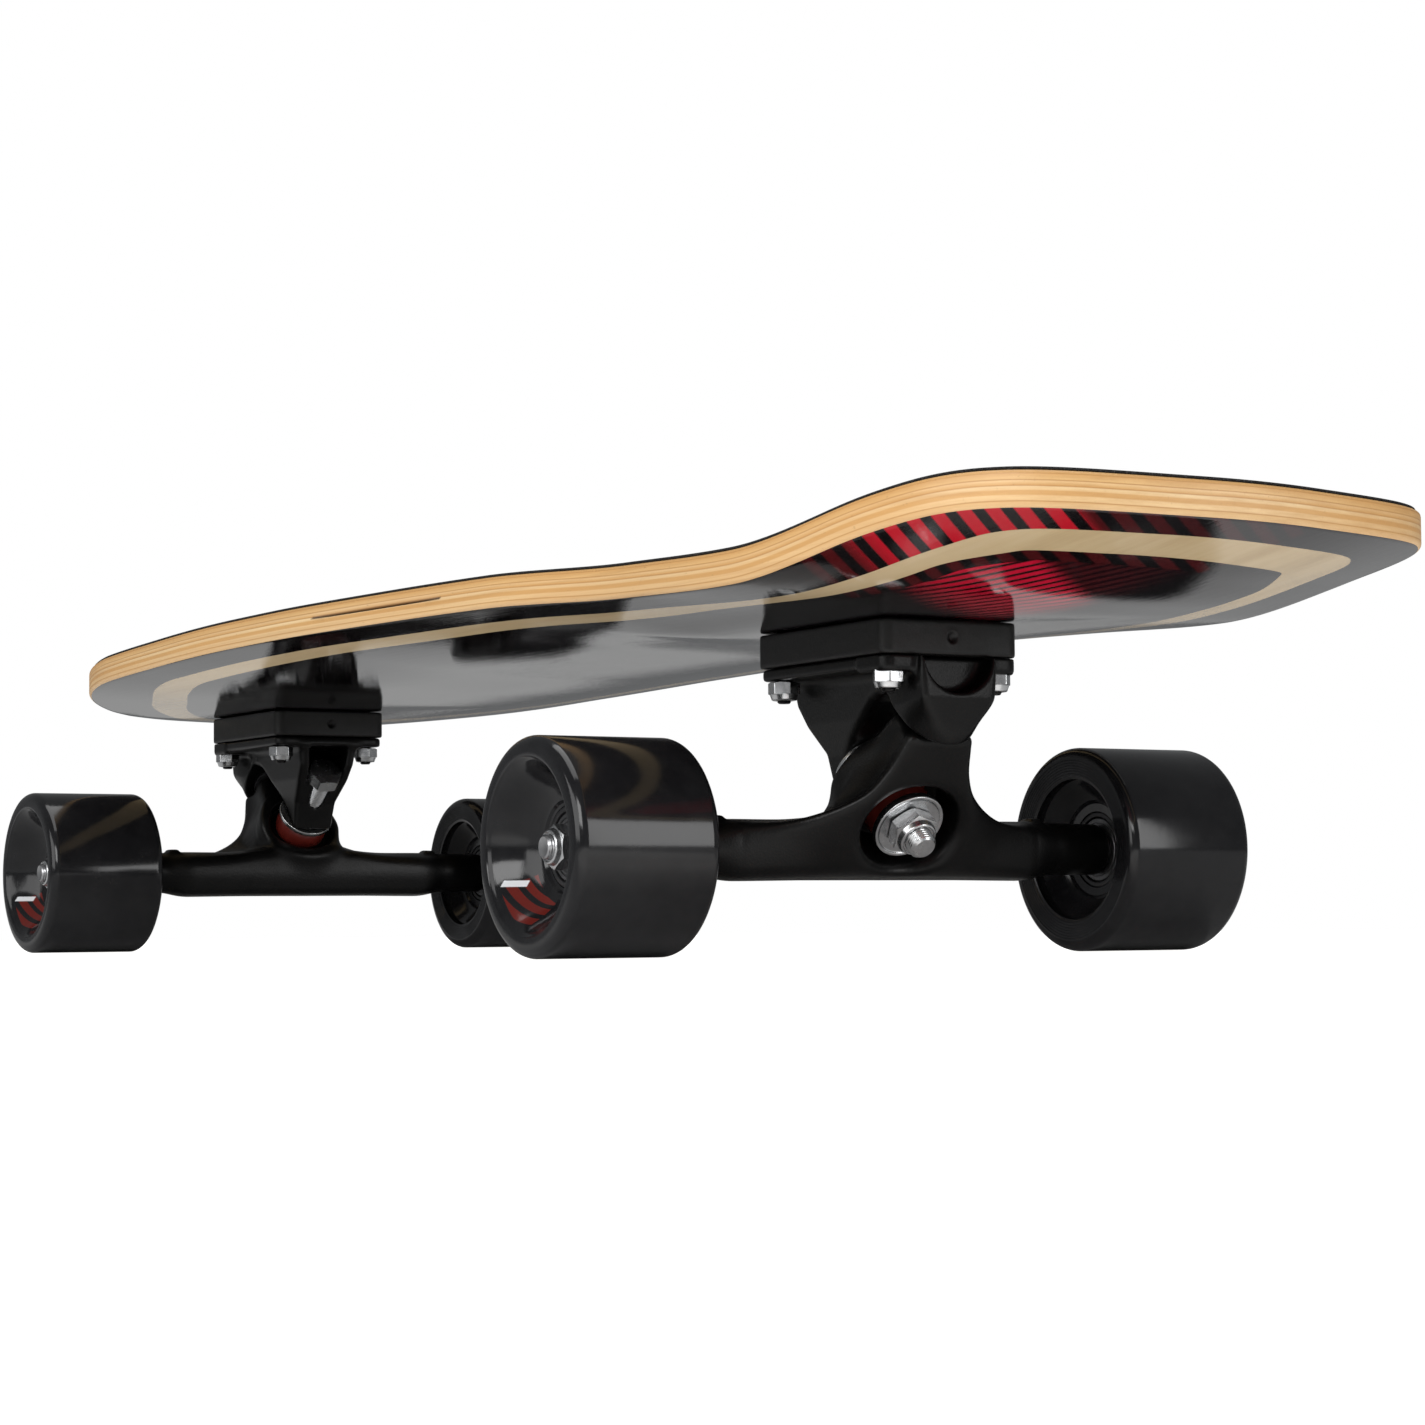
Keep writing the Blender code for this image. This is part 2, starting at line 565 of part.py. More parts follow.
def bolt_mesh(x, y):
    """A countersunk bolt from the deck's top face to below its lock nut."""
    top = deck_underside(x, y) + DECK_THICK
    return turned([(0.0, top), (BOLT_HEAD_R, top), (BOLT_R, top - BOLT_HEAD_H), (BOLT_R, BOLT_TIP_Z + 0.5),
                   (BOLT_R - 0.5, BOLT_TIP_Z), (0.0, BOLT_TIP_Z)], steps=12, closed=False)


def empty(name, location, parent=None, heading=0.0):
    made = bpy.data.objects.new(name, None)
    made.empty_display_size = 0.02
    bpy.context.scene.collection.objects.link(made)
    made.parent = parent
    made.location = [c * MM for c in location]
    made.rotation_euler = (0.0, 0.0, heading)
    return made


class Builder:
    """Makes one named object at a time and keeps the shared collection and materials."""

    def __init__(self):
        self.collection = new_collection("longboard_skateboard")
        self.materials = {}

    def material(self, name, *values):
        if name not in self.materials:
            self.materials[name] = new_material(name, *values)
        return self.materials[name]

    def add(self, name, mesh, look, parent=None, offset=(0, 0, 0), spin=0.0):
        """Puts a mesh under its parent, moved back by the parent's own offset and turned about X."""
        obj = bpy.data.objects.new(name, mesh)
        self.collection.objects.link(obj)
        obj.parent = parent
        obj.location = [c * MM for c in offset]
        obj.rotation_euler = (spin, 0.0, 0.0)
        if not mesh.materials:
            mesh.materials.append(self.material(*look))
            mesh.shade_smooth()
            mesh.set_sharp_from_angle(angle=math.radians(35))
        return obj


PLY = ("deck_maple", (0.62, 0.42, 0.22), 0.45)
GRIP = ("grip_black", (0.03, 0.03, 0.03), 0.95)
RISER_LOOK = ("riser_black", (0.03, 0.03, 0.03), 0.6)
CAST = ("truck_black", (0.025, 0.025, 0.025), 0.4, 0.3)
CUP = ("cup_black", (0.04, 0.04, 0.04), 0.6)
ZINC = ("zinc_steel", (0.72, 0.72, 0.72), 0.25, 1.0)
BUSHING = ("bushing_red", (0.16, 0.01, 0.012), 0.35)
STEEL = ("axle_steel", (0.55, 0.55, 0.56), 0.3, 1.0)
TYRE = ("tyre_black", (0.012, 0.012, 0.012), 0.15)
CORE = ("core_black", (0.03, 0.03, 0.03), 0.4)
SHIELD = ("bearing_steel", (0.6, 0.6, 0.6), 0.3, 1.0)


def shared_meshes():
    """One mesh for each shape that both trucks use."""
    king, pivot = kingpin_frame(), pivot_frame()
    bore = KINGPIN_R + GAP
    return {
        "riser": riser_mesh(),
        "baseplate": baseplate_mesh(),
        "pivot_cup": pivot_cup_mesh(),
        "kingpin": kingpin_mesh(),
        "kingpin_nut": nut_mesh(KINGPIN_NUT_AF, KINGPIN_NUT, bore, king),
        "roadside_washer": ring_mesh(WASHER_R, bore, ROADSIDE_WASHER, king),
        "boardside_washer": ring_mesh(WASHER_R, bore, BOARDSIDE_WASHER, king),
        "roadside_bushing": ring_mesh(ROADSIDE_BUSHING_R[1], bore, ROADSIDE_BUSHING, king,
                                      ROADSIDE_BUSHING_R[0]),
        "boardside_bushing": ring_mesh(BOARDSIDE_BUSHING_R, bore, BOARDSIDE_BUSHING, king),
        "hanger": hanger_mesh(),
        "axle": cylinder(AXLE_R, -AXLE_HALF, AXLE_HALF, axle_frame(1), chamfer=0.6),
        "axle_nut": nut_mesh(AXLE_NUT_AF, AXLE_NUT, AXLE_NUT_BORE),
        "tyre": tyre_mesh(),
        "core": core_mesh(),
        "bearing": bearing_mesh(),
    }


FIXED_LOOKS = {
    "riser": RISER_LOOK, "baseplate": CAST, "pivot_cup": CUP, "kingpin": ZINC, "kingpin_nut": ZINC,
    "roadside_washer": ZINC, "boardside_washer": ZINC, "roadside_bushing": BUSHING,
    "boardside_bushing": BUSHING,
}


def add_wheel(build, meshes, end, side_name, side, steer, steer_place):
    """One wheel on its own empty at the wheel's middle, on the axle."""
    place = Vector((0.0, side * WHEEL_CENTRE, AXLE_Z)) - steer_place
    hub = empty(f"{end}_{side_name}_spin", place, steer)
    spin = -side * math.pi / 2
    name = f"{end}_{side_name}"
    build.add(f"{name}_tyre", meshes["tyre"], TYRE, hub, spin=spin)
    build.add(f"{name}_core", meshes["core"], CORE, hub, spin=spin)
    for where, start in (("inboard", INBOARD_BEARING), ("outboard", OUTBOARD_BEARING)):
        offset = side * (start + BEARING_WIDTH / 2 - WHEEL_CENTRE)
        build.add(f"{name}_{where}_bearing", meshes["bearing"], SHIELD, hub, (0, offset, 0), spin)


def add_truck(build, meshes, end, axle_x, outboard):
    heading = 0.0 if outboard > 0 else math.pi
    truck = empty(f"{end}_truck", (axle_x, 0, 0), heading=heading)
    for piece, look in FIXED_LOOKS.items():
        build.add(f"{end}_{piece}", meshes[piece], look, truck)
    steer_place = RING_CENTRE
    steer = empty(f"{end}_steer", steer_place, truck)
    back = -steer_place
    build.add(f"{end}_hanger", meshes["hanger"], CAST, steer, back)
    build.add(f"{end}_axle", meshes["axle"], STEEL, steer, back)
    for side_name, world_side in (("left", 1), ("right", -1)):
        side = world_side * outboard
        nut_place = Vector((0, 0, AXLE_Z)) - steer_place
        build.add(f"{end}_{side_name}_axle_nut", meshes["axle_nut"], ZINC, steer, nut_place,
                  -side * math.pi / 2)
        add_wheel(build, meshes, end, side_name, side, steer, steer_place)


def add_fasteners(build):
    """The eight deck bolts and their lock nuts."""
    nut = nut_mesh(LOCK_NUT_AF, LOCK_NUT_Z, BOLT_HOLE_R)
    for number, (x, y) in enumerate(bolt_places()):
        end = "front" if number < 4 else "rear"
        index = number % 4 + 1
        bolt = build.add(f"{end}_deck_bolt_{index}", bolt_mesh(x, y), ZINC)
        bolt.location = (x * MM, y * MM, 0)
        build.add(f"{end}_lock_nut_{index}", nut, ZINC).location = (x * MM, y * MM, 0)


def main():
    clear_scene()
    build = Builder()
    build.add("deck", deck_mesh(), PLY)
    build.add("grip_tape", grip_mesh(), GRIP)
    meshes = shared_meshes()
    add_truck(build, meshes, "front", FRONT_AXLE_X, 1)
    add_truck(build, meshes, "rear", REAR_AXLE_X, -1)
    add_fasteners(build)


main()
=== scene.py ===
"""Looks of the longboard skateboard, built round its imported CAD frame.

Lengths in the tables below are millimetres, and every mesh ends up in metres. +X is the nose, +Y the
rider's left and +Z up. A truck is modelled once, with +X outboard and the axle over X = 0, and is
placed twice.
"""

import math

import bmesh
import bpy
import numpy as np
import openvdb
from mathutils import Matrix, Vector


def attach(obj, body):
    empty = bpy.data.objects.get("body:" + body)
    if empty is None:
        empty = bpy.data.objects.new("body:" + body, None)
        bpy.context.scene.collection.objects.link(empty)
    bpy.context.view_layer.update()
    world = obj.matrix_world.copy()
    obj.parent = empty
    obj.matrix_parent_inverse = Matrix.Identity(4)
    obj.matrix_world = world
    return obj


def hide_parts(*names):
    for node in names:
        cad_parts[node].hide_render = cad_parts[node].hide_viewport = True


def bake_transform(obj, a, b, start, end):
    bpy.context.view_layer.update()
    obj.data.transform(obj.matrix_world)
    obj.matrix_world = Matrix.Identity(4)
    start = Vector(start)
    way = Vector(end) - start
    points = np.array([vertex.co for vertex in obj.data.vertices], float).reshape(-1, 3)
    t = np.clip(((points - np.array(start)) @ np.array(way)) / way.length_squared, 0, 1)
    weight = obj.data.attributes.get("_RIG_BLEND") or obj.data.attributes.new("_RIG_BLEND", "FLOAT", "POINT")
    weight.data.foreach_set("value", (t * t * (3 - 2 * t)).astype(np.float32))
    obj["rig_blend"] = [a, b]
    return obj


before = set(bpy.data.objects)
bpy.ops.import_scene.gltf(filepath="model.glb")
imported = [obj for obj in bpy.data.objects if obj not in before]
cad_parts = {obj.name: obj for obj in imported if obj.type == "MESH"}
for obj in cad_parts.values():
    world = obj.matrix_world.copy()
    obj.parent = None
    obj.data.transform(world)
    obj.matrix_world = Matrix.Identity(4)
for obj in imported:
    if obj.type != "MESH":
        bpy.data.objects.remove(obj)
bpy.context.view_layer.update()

MM = 0.001
GAP = 0.3  # clearance that keeps two close surfaces apart

# The deck. Its tables are pairs of (distance from the origin along X, value there).
DECK_TAIL, DECK_NOSE = -392.0, 392.0
DECK_THICK = 10.6
DECK_HALF_WIDTH = ((-450, 98.0), (-380, 104.0), (-300, 107.0), (-220, 111.8), (-140, 113.8), (-60, 112.0),
                   (20, 106.0), (100, 101.0), (180, 94.5), (250, 95.7), (310, 94.0), (370, 86.8))
DECK_CENTRE_Z = ((-392, 109.4), (-350, 107.6), (-240, 107.6), (-150, 108.6), (-60, 109.8), (60, 109.8),
                 (150, 107.6), (250, 107.6), (290, 108.8), (330, 113.2), (392, 122.0))
DECK_EDGE_Z = ((-470, 117.5), (-390, 114.4), (-300, 113.2), (-200, 115.2), (-100, 117.0), (0, 117.4),
               (100, 116.4), (190, 112.5), (255, 110.4), (330, 119.0), (410, 128.4))
DECK_FLAT_HALF = 20.0
DECK_LEAN = math.radians(1.3)
LEAN_OFF_CENTRE, LEAN_OFF_PAD = (26, 60), (42, 85)  # where it sets in, out from the middle and a pad
TAIL_CAP, TAIL_CAP_POWER = 151.0, 2.0
NOSE_CAP, NOSE_CAP_POWER = 69.5, 4.1
EDGE_ROUND = 1.5
GRIP_THICK, GRIP_INSET = 0.8, 1.5
OUTLINE_STEPS = 420
SPINE_STEPS = 16
SLIT_X, SLIT_ROWS, SLIT_DEPTH = (-27.0, 72.0), (4.9, 5.6, 6.3), 1.7

# The print on the underside: bars and a lined field, both measured along the direction across the bars.
ACROSS_BARS = (764.0, 645.0)
BAR_PERIOD, BAR_SHIFT, BAR_WIDTH = 8.1, 0.41, (0.23, 0.69)
BAR_ZONE, FIELD_ZONE, SHADE_SPAN = (165.0, 330.0), (178.0, 330.0), 400.0
INNER_BARS = (1.0, 1.75)  # in stripe widths in from the stripe's outer line
BARS_END_Y, FIELD_Y = 0.02, (-0.2, 0.012)
FIELD_SLANT, LINE_PERIOD, LINE_WIDTH = (-0.342, 0.94), 0.0058, (0.08, 0.70)

# The trucks. Along the kingpin, t runs up from the low face of its lower washer. Along the steering axis,
# s runs up from the middle of the hanger's ring.
FRONT_AXLE_X, REAR_AXLE_X = 190.0, -290.0
AXLE_Z = 35.0
BOLT_CENTRE_X = 7.6
BOLT_SPACING, BOLT_R, BOLT_HOLE_R = (63.5, 41.3), 2.4, 2.7
BOLT_TIP_Z = 84.0
NUT_TURN = 0.37  # each deck bolt and nut is turned this much further than the one before
PLATE_CENTRE_X = 6.4
RISER_SIZE, RISER_TOP_Z, PLATE_CORNER = (79.0, 52.6, 11.4), 107.3, 4.0
FLANGE, FLANGE_TOP_Z = (77.5, 51.2, 4.0), 95.6
PAD_X, PAD_BOTTOM_Z = 29.5, 90.4
KINGPIN_TILT, KINGPIN_FACE = math.radians(40), (19.1, 42.0)
KINGPIN_R, KINGPIN_END, KINGPIN_HEAD, KINGPIN_HEAD_AF = 4.76, -12.0, (54.0, 60.0), 14.3
RING, STACK_BORE = (13.0, 19.0), 5.06
ROADSIDE_BUSHING, BOARDSIDE_BUSHING = (2.3, 12.7), (19.3, 28.7)
SEAT, SEAT_HALF = 31.3, 11.5
PIVOT_TILT = math.radians(42)
ARM_INBOARD = ((-31.4, 92.5), (-29.6, 83.0), (-24.0, 75.0), (-16.2, 66.5))
ARM_ARCH = ((12.7, 79.4), (17.0, 82.6), (21.0, 84.2), (24.5, 84.6), (30.0, 92.5))
ARM_HALF = ((58, 9.4), (66, 9.9), (77, 12.3), (92, 13.8))
RIB, POCKET_REACH = 4.3, 12.5
LOBE_X, LOBE_HALF_Y, LOBE_SIDE_Z, LOBE_BOTTOM_Z, LOBE_END_S = (24.0, 50.0), 13.8, 83.0, 75.0, 36.9
LOBE_DRAFT, LOBE_DRAFT_Z = math.radians(18), 82.0
HOLLOW_X, HOLLOW_HALF_Y, HOLLOW_TOP_Z, HOLLOW_BOTTOM_Z = 41.5, 13.4, 96.5, 83.6

# The hanger. Its tables are pairs of (distance out from the middle along Y, value there); the web's go by s.
HANGER_BOTTOM_Z, HANGER_INBOARD_X, HANGER_HALF = 25.4, -9.4, 90.0
BEAM_HALF = 64.0
EAR_Y, EAR_Z, EAR_HALF = 63.0, 41.5, (3.0, 1.6, 3.6)
INBOARD_RIDGE_Z = ((0, 46.0), (20, 45.2), (40, 42.0), (58, 40.2))
OUTBOARD_RIDGE_X = ((0, 38.2), (10, 38.2), (15.5, 33.6), (20, 30.0), (30, 22.5), (40, 16.5), (58, 9.8))
OUTBOARD_RIDGE_Z = ((0, 70.0), (10, 70.0), (15.5, 61.0), (20, 55.4), (30, 49.0), (40, 45.4), (58, 42.4))
OUTBOARD_FOOT_X = ((0, 14.0), (20, 13.2), (40, 11.0), (58, 9.0))
COLLAR_R = ((30, 8.4), (60, 9.0), (90, 8.7))
WEB_HALF = ((2, 15.5), (12, 14.0), (22, 12.2), (33, 10.4))
WEB_THICK_HALF, WEB_MIDDLE, WEB_REACH = 8.4, 17.5, 15.5
RING_OUTER_R, RING_MIDDLE, RING_HALF, RING_HOLE_R, BUSHING_SEAT_R = 18.2, 15.2, 7.0, 7.9, 14.6
RECESS, RECESS_MEAN_R, RECESS_TAPER = (15.4, 18.8), 16.5, 0.006
PIVOT_NOSE_R, PIVOT_BALL, CUP_R, CUP_S = 6.0, 38.0, 9.3, (30, 45.9)

# The axle and the wheels, placed by distance out from the middle.
AXLE_R, AXLE_HALF = 3.95, 124.5
WHEEL_CENTRE, WHEEL_R, WHEEL_HALF = 105.0, 35.0, 25.5
BEARING_OUTER_R, BEARING_WIDTH = 11.0, 7.0
INBOARD_BEARING, OUTBOARD_BEARING = 91.3, 108.4
AXLE_NUT = (116.5, 118.3, 122.9)  # collar, then the two ends of the hexagon

# The marks printed on a wheel's outboard dish, in metres and radians round its axis.
DISH_PRINT_Z = (0.008, 0.0246)
DISH_STRIPE_R, DISH_STRIPE_SWEEP = (0.0180, 0.0262), (-2.66, -1.80)
DISH_STRIPE_PERIOD, DISH_STRIPE_SLANT = 0.0031, 0.0042
DISH_BAR_X, DISH_BAR_Y = (-0.0232, -0.0178), (-0.0122, -0.0102)
TURNING_RINGS = 21000.0

DOWN = Vector((math.cos(KINGPIN_TILT), 0.0, -math.sin(KINGPIN_TILT)))
STEER_UP = Vector((math.cos(PIVOT_TILT), 0.0, math.sin(PIVOT_TILT)))
FACE_POINT = Vector((KINGPIN_FACE[0], 0.0, KINGPIN_FACE[1]))
RING_CENTRE = FACE_POINT - DOWN * (sum(RING) / 2)

TRUCKS = {
    "front": Matrix.Translation((FRONT_AXLE_X * MM, 0, 0)),
    "rear": Matrix.Translation((REAR_AXLE_X * MM, 0, 0)) @ Matrix.Rotation(math.pi, 4, "Z"),
}

# The studio.
FLOOR_RADIUS, FLOOR_Z, FLOOR_BOUNCE = 1.5, -0.0002, 0.58
ROOM_STRENGTH = 0.17
CAMERA_PLACE = (1.1021, -0.5968, 0.0114)
CAMERA_YAW, CAMERA_PITCH, CAMERA_ROLL = math.radians(59.65), math.radians(3.64), math.radians(-0.48)
CAMERA_LENS, SENSOR_WIDTH = 82.85, 36.0
SOFTBOXES = {  # place, target, size and radiance
    "nose_box": ((2.62, 1.33, 0.72), (-0.1, 0.2, 0.1), (0.94, 1.4), 3.8),
    "side_box": ((0.3, -3.0, 1.0), (0, 0, 0.1), (2.6, 1.6), 2.4),
    "key_box": ((1.30, -1.20, 0.85), (0.25, 0, 0.1), (0.9, 0.7), 6.0),
    "top_box": ((0.0, 0.0, 2.6), (0, 0, 0), (2.4, 1.6), 2.4),
}


# ---------------- node materials

class Look:
    """A node material: constants go on the shader's own sockets, and patterns are linked in."""

    def __init__(self, name, colour, roughness, **sockets):
        self.material = bpy.data.materials.new(name)
        self.material.use_nodes = True
        self.nodes = self.material.node_tree.nodes
        self.links = self.material.node_tree.links
        self.shader = self.nodes["Principled BSDF"]
        self.shader.inputs["Base Color"].default_value = (*colour, 1.0)
        self.shader.inputs["Roughness"].default_value = roughness
        for socket, value in sockets.items():
            self.shader.inputs[socket.replace("_", " ")].default_value = value
        self.material.diffuse_color = (*colour, 1.0)

    def node(self, kind, inputs=None, **settings):
        made = self.nodes.new(kind)
        for key, value in settings.items():
            setattr(made, key, value)
        for key, value in (inputs or {}).items():
            if isinstance(value, bpy.types.NodeSocket):
                self.links.new(value, made.inputs[key])
            else:
                made.inputs[key].default_value = value
        return made

    def object_point(self):
        return self.node("ShaderNodeTexCoord").outputs["Object"]

    def coordinates(self, scale=(1, 1, 1)):
        return self.node("ShaderNodeMapping", {"Vector": self.object_point(), "Scale": scale}).outputs[0]

    def place(self):
        """The X, Y and Z of the surface, in metres."""
        split = self.node("ShaderNodeSeparateXYZ", {0: self.object_point()})
        return [split.outputs[axis] for axis in "XYZ"]

    def noise(self, scale, stretch=(1, 1, 1), detail=4.0, roughness=0.55):
        inputs = {"Vector": self.coordinates(stretch), "Scale": scale, "Detail": detail,
                  "Roughness": roughness}
        return self.node("ShaderNodeTexNoise", inputs).outputs["Fac"]

    def attribute(self, name):
        return self.node("ShaderNodeAttribute", attribute_name=name).outputs["Fac"]

    def math(self, operation, a, b=0.0):
        return self.node("ShaderNodeMath", {0: a, 1: b}, operation=operation).outputs[0]

    def times(self, first, *more):
        for value in more:
            first = self.math("MULTIPLY", first, value)
        return first

    def plus(self, first, *more):
        for value in more:
            first = self.math("ADD", first, value)
        return first

    def ramp(self, value, stops):
        made = self.node("ShaderNodeValToRGB", {"Fac": value})
        elements = made.color_ramp.elements
        while len(elements) < len(stops):
            elements.new(0.5)
        for element, (place, colour) in zip(elements, stops):
            element.position = place
            element.color = (*colour, 1.0)
        return made.outputs["Color"]

    def grey(self, value, stops):
        return self.ramp(value, [(place, (level,) * 3) for place, level in stops])

    def mix(self, factor, a, b, blend="MIX"):
        made = self.node("ShaderNodeMix", data_type="RGBA", blend_type=blend)
        for socket, value in ((0, factor), (6, a), (7, b)):
            if isinstance(value, bpy.types.NodeSocket):
                self.links.new(value, made.inputs[socket])
            else:
                made.inputs[socket].default_value = value if socket == 0 else (*value, 1.0)
        return made.outputs[2]

    def between(self, value, low, high, soft):
        """1 where value lies between low and high, with soft edges."""
        slopes = (self.node("ShaderNodeMapRange", {"Value": value, "From Min": start, "From Max": end})
                  for start, end in ((low - soft, low + soft), (high + soft, high - soft)))
        return self.times(*(slope.outputs[0] for slope in slopes))

    def stripes(self, value, period, width, soft, shift=0.0):
        """1 on stripes that repeat along this value; width is their share of the period, from and to."""
        turns = self.plus(self.math("DIVIDE", value, period), shift)
        return self.between(self.math("FRACT", turns), *width, soft)

    def colour(self, socket):
        self.links.new(socket, self.shader.inputs["Base Color"])

    def rough(self, value, low, high):
        """Roughness that follows a pattern between two values."""
        made = self.node("ShaderNodeMapRange", {"Value": value, "To Min": low, "To Max": high})
        self.links.new(made.outputs[0], self.shader.inputs["Roughness"])

    def bump(self, height, strength, distance, coat=False):
        made = self.node("ShaderNodeBump", {"Height": height, "Strength": strength, "Distance": distance})
        self.links.new(made.outputs[0], self.shader.inputs["Normal"])
        if coat:
            self.links.new(made.outputs[0], self.shader.inputs["Coat Normal"])


def ply_look():
    """Seven maple plies seen on edge, long-grain plies darker than the cross plies between them."""
    look = Look("deck_ply_edge", (0.70, 0.44, 0.19), 0.42, Coat_Weight=0.2, Coat_Roughness=0.3)
    wander = look.math("SUBTRACT", look.noise(14, (0.35, 1, 1), detail=3), 0.5)
    up = look.plus(look.math("DIVIDE", look.attribute("up"), DECK_THICK), look.times(wander, 0.05))
    pale, honey, brown = (0.88, 0.62, 0.32), (0.72, 0.42, 0.16), (0.50, 0.25, 0.08)
    stops = [(0.0, (0.84, 0.58, 0.30)), (0.13, (0.80, 0.54, 0.26)), (0.155, brown), (0.185, pale),
             (0.30, pale), (0.325, honey), (0.43, honey), (0.455, pale), (0.53, (0.90, 0.68, 0.38)),
             (0.56, brown), (0.585, honey), (0.68, pale), (0.71, brown), (0.735, (0.82, 0.54, 0.24)),
             (0.86, honey), (0.885, brown), (0.91, (0.70, 0.42, 0.16)), (1.0, (0.62, 0.36, 0.13))]
    plies = look.ramp(up, stops)
    grain = look.noise(60, (0.05, 1, 9), detail=8, roughness=0.7)
    grained = look.mix(look.grey(grain, [(0.3, 0.0), (0.72, 0.50)]), plies, (0.46, 0.22, 0.065))
    blotch = look.noise(9, (0.6, 1, 1), detail=2)
    toned = look.mix(look.grey(blotch, [(0.35, 0.0), (0.75, 0.30)]), grained, (0.74, 0.36, 0.10))
    flecks = look.noise(900, (0.35, 1, 0.8), detail=2, roughness=0.8)
    flecked = look.mix(look.grey(flecks, [(0.66, 0.0), (0.8, 0.40)]), toned, (0.34, 0.16, 0.05))
    # Painted shade: the open gap between two plies is coloured near-black on top of its shallow dent,
    # standing in for the shade inside it.
    look.colour(look.mix(look.attribute("slit"), flecked, (0.03, 0.014, 0.008)))
    look.rough(grain, 0.34, 0.55)
    look.bump(look.plus(grain, flecks), 0.25, 0.0004)
    return look.material


def print_look():
    """The printed, lacquered underside: a bare-wood stripe round it, slanted bars and a lined field."""
    look = Look("deck_print", (0.02, 0.018, 0.018), 0.35, Specular_IOR_Level=0.0, Coat_Weight=1.0,
                Coat_Roughness=0.015, Coat_IOR=1.45)
    band = look.attribute("band")
    x, y, _ = look.place()
    across = look.plus(look.times(x, ACROSS_BARS[0]), look.times(y, ACROSS_BARS[1]))
    shade = look.math("DIVIDE", across, SHADE_SPAN)
    gaps = look.math("SUBTRACT", 1.0, look.stripes(across, BAR_PERIOD, BAR_WIDTH, 0.04, BAR_SHIFT))
    near = look.math("LESS_THAN", y, BARS_END_Y)
    bar_zone = look.between(across, *BAR_ZONE, 6.0)
    black, deep_red, bright_red = (0.010, 0.008, 0.009), (0.085, 0.008, 0.010), (0.55, 0.012, 0.026)
    bar_red = look.ramp(shade, [(0.45, deep_red), (0.485, bright_red), (0.625, bright_red),
                                (0.64, deep_red), (0.8, (0.03, 0.008, 0.010))])
    outer = look.times(look.math("LESS_THAN", band, 0.0), bar_zone, near, gaps)
    painted = look.mix(outer, black, bar_red)
    inner = look.times(look.between(band, *INNER_BARS, 0.02), bar_zone, near, gaps)
    painted = look.mix(inner, painted, (0.080, 0.008, 0.010))
    slant = look.plus(look.times(x, FIELD_SLANT[0]), look.times(y, FIELD_SLANT[1]))
    lines = look.stripes(slant, LINE_PERIOD, LINE_WIDTH, 0.12)
    inside = look.math("GREATER_THAN", band, INNER_BARS[1] + 0.02)
    field = look.times(inside, look.between(across, *FIELD_ZONE, 10.0), look.between(y, *FIELD_Y, 0.008),
                       lines)
    field_red = look.ramp(shade, [(0.45, (0.02, 0.005, 0.007)), (0.495, (0.50, 0.010, 0.032)),
                                  (0.572, (0.62, 0.010, 0.040)), (0.588, (0.085, 0.006, 0.010)),
                                  (0.70, (0.035, 0.005, 0.008))])
    painted = look.mix(field, painted, field_red)
    grain = look.noise(45, (0.12, 1.6, 1), detail=7, roughness=0.65)
    wood = look.ramp(grain, [(0.25, (0.52, 0.38, 0.21)), (0.5, (0.63, 0.48, 0.28)),
                             (0.8, (0.70, 0.55, 0.35))])
    look.colour(look.mix(look.between(band, 0.0, 1.0, 0.008), painted, wood))
    fine = look.noise(420, (0.06, 1.2, 1), detail=5, roughness=0.7)
    broad = look.noise(30, (0.15, 1, 1), detail=3)
    look.rough(fine, 0.3, 0.45)
    look.bump(look.plus(fine, look.times(broad, 1.5)), 0.09, 0.0005, coat=True)
    return look.material


def grip_look():
    look = Look("grip_tape", (0.018, 0.018, 0.019), 0.92, Specular_IOR_Level=0.35)
    grit = look.node("ShaderNodeTexVoronoi", {"Vector": look.coordinates(), "Scale": 1500.0})
    grit = grit.outputs["Distance"]
    patches = look.noise(22, detail=4)
    look.colour(look.mix(look.grey(grit, [(0.05, 0.9), (0.35, 0.0)]),
                         look.ramp(patches, [(0.3, (0.010, 0.010, 0.011)), (0.7, (0.022, 0.022, 0.023))]),
                         (0.075, 0.075, 0.08)))
    look.rough(grit, 0.7, 0.97)
    look.bump(grit, 0.9, 0.0005)
    return look.material


def casting_look():
    """Satin black powder coat with a fine orange peel."""
    look = Look("powder_coat_black", (0.0025, 0.0025, 0.0026), 0.32, Specular_IOR_Level=0.26)
    peel = look.noise(1400, detail=2, roughness=0.5)
    cloud = look.noise(60, detail=4)
    look.colour(look.ramp(cloud, [(0.3, (0.0016, 0.0016, 0.0017)), (0.7, (0.0036, 0.0035, 0.0035))]))
    look.rough(look.plus(look.times(peel, 0.5), look.times(cloud, 0.5)), 0.26, 0.42)
    look.bump(peel, 0.22, 0.0003)
    return look.material


def riser_look():
    look = Look("riser_rubber", (0.004, 0.004, 0.004), 0.42, Specular_IOR_Level=0.42)
    skin = look.noise(700, detail=5, roughness=0.7)
    smear = look.noise(38, (1, 1, 3), detail=5)
    look.colour(look.ramp(smear, [(0.35, (0.0025, 0.0023, 0.0022)), (0.75, (0.006, 0.0055, 0.005))]))
    look.rough(smear, 0.26, 0.60)
    look.bump(look.plus(skin, smear), 0.22, 0.0005)
    return look.material


def clouded_look(name, colour, roughness, stops, low, high, cloud, bump, marks=None, **sockets):
    """A moulded, plated or turned surface whose colour and roughness follow a cloud, and so does its bump
    unless marks are given."""
    look = Look(name, colour, roughness, **sockets)
    cloud = look.noise(**cloud)
    look.colour(look.ramp(cloud, stops))
    look.rough(cloud, low, high)
    look.bump(look.noise(**marks) if marks else cloud, *bump)
    return look.material


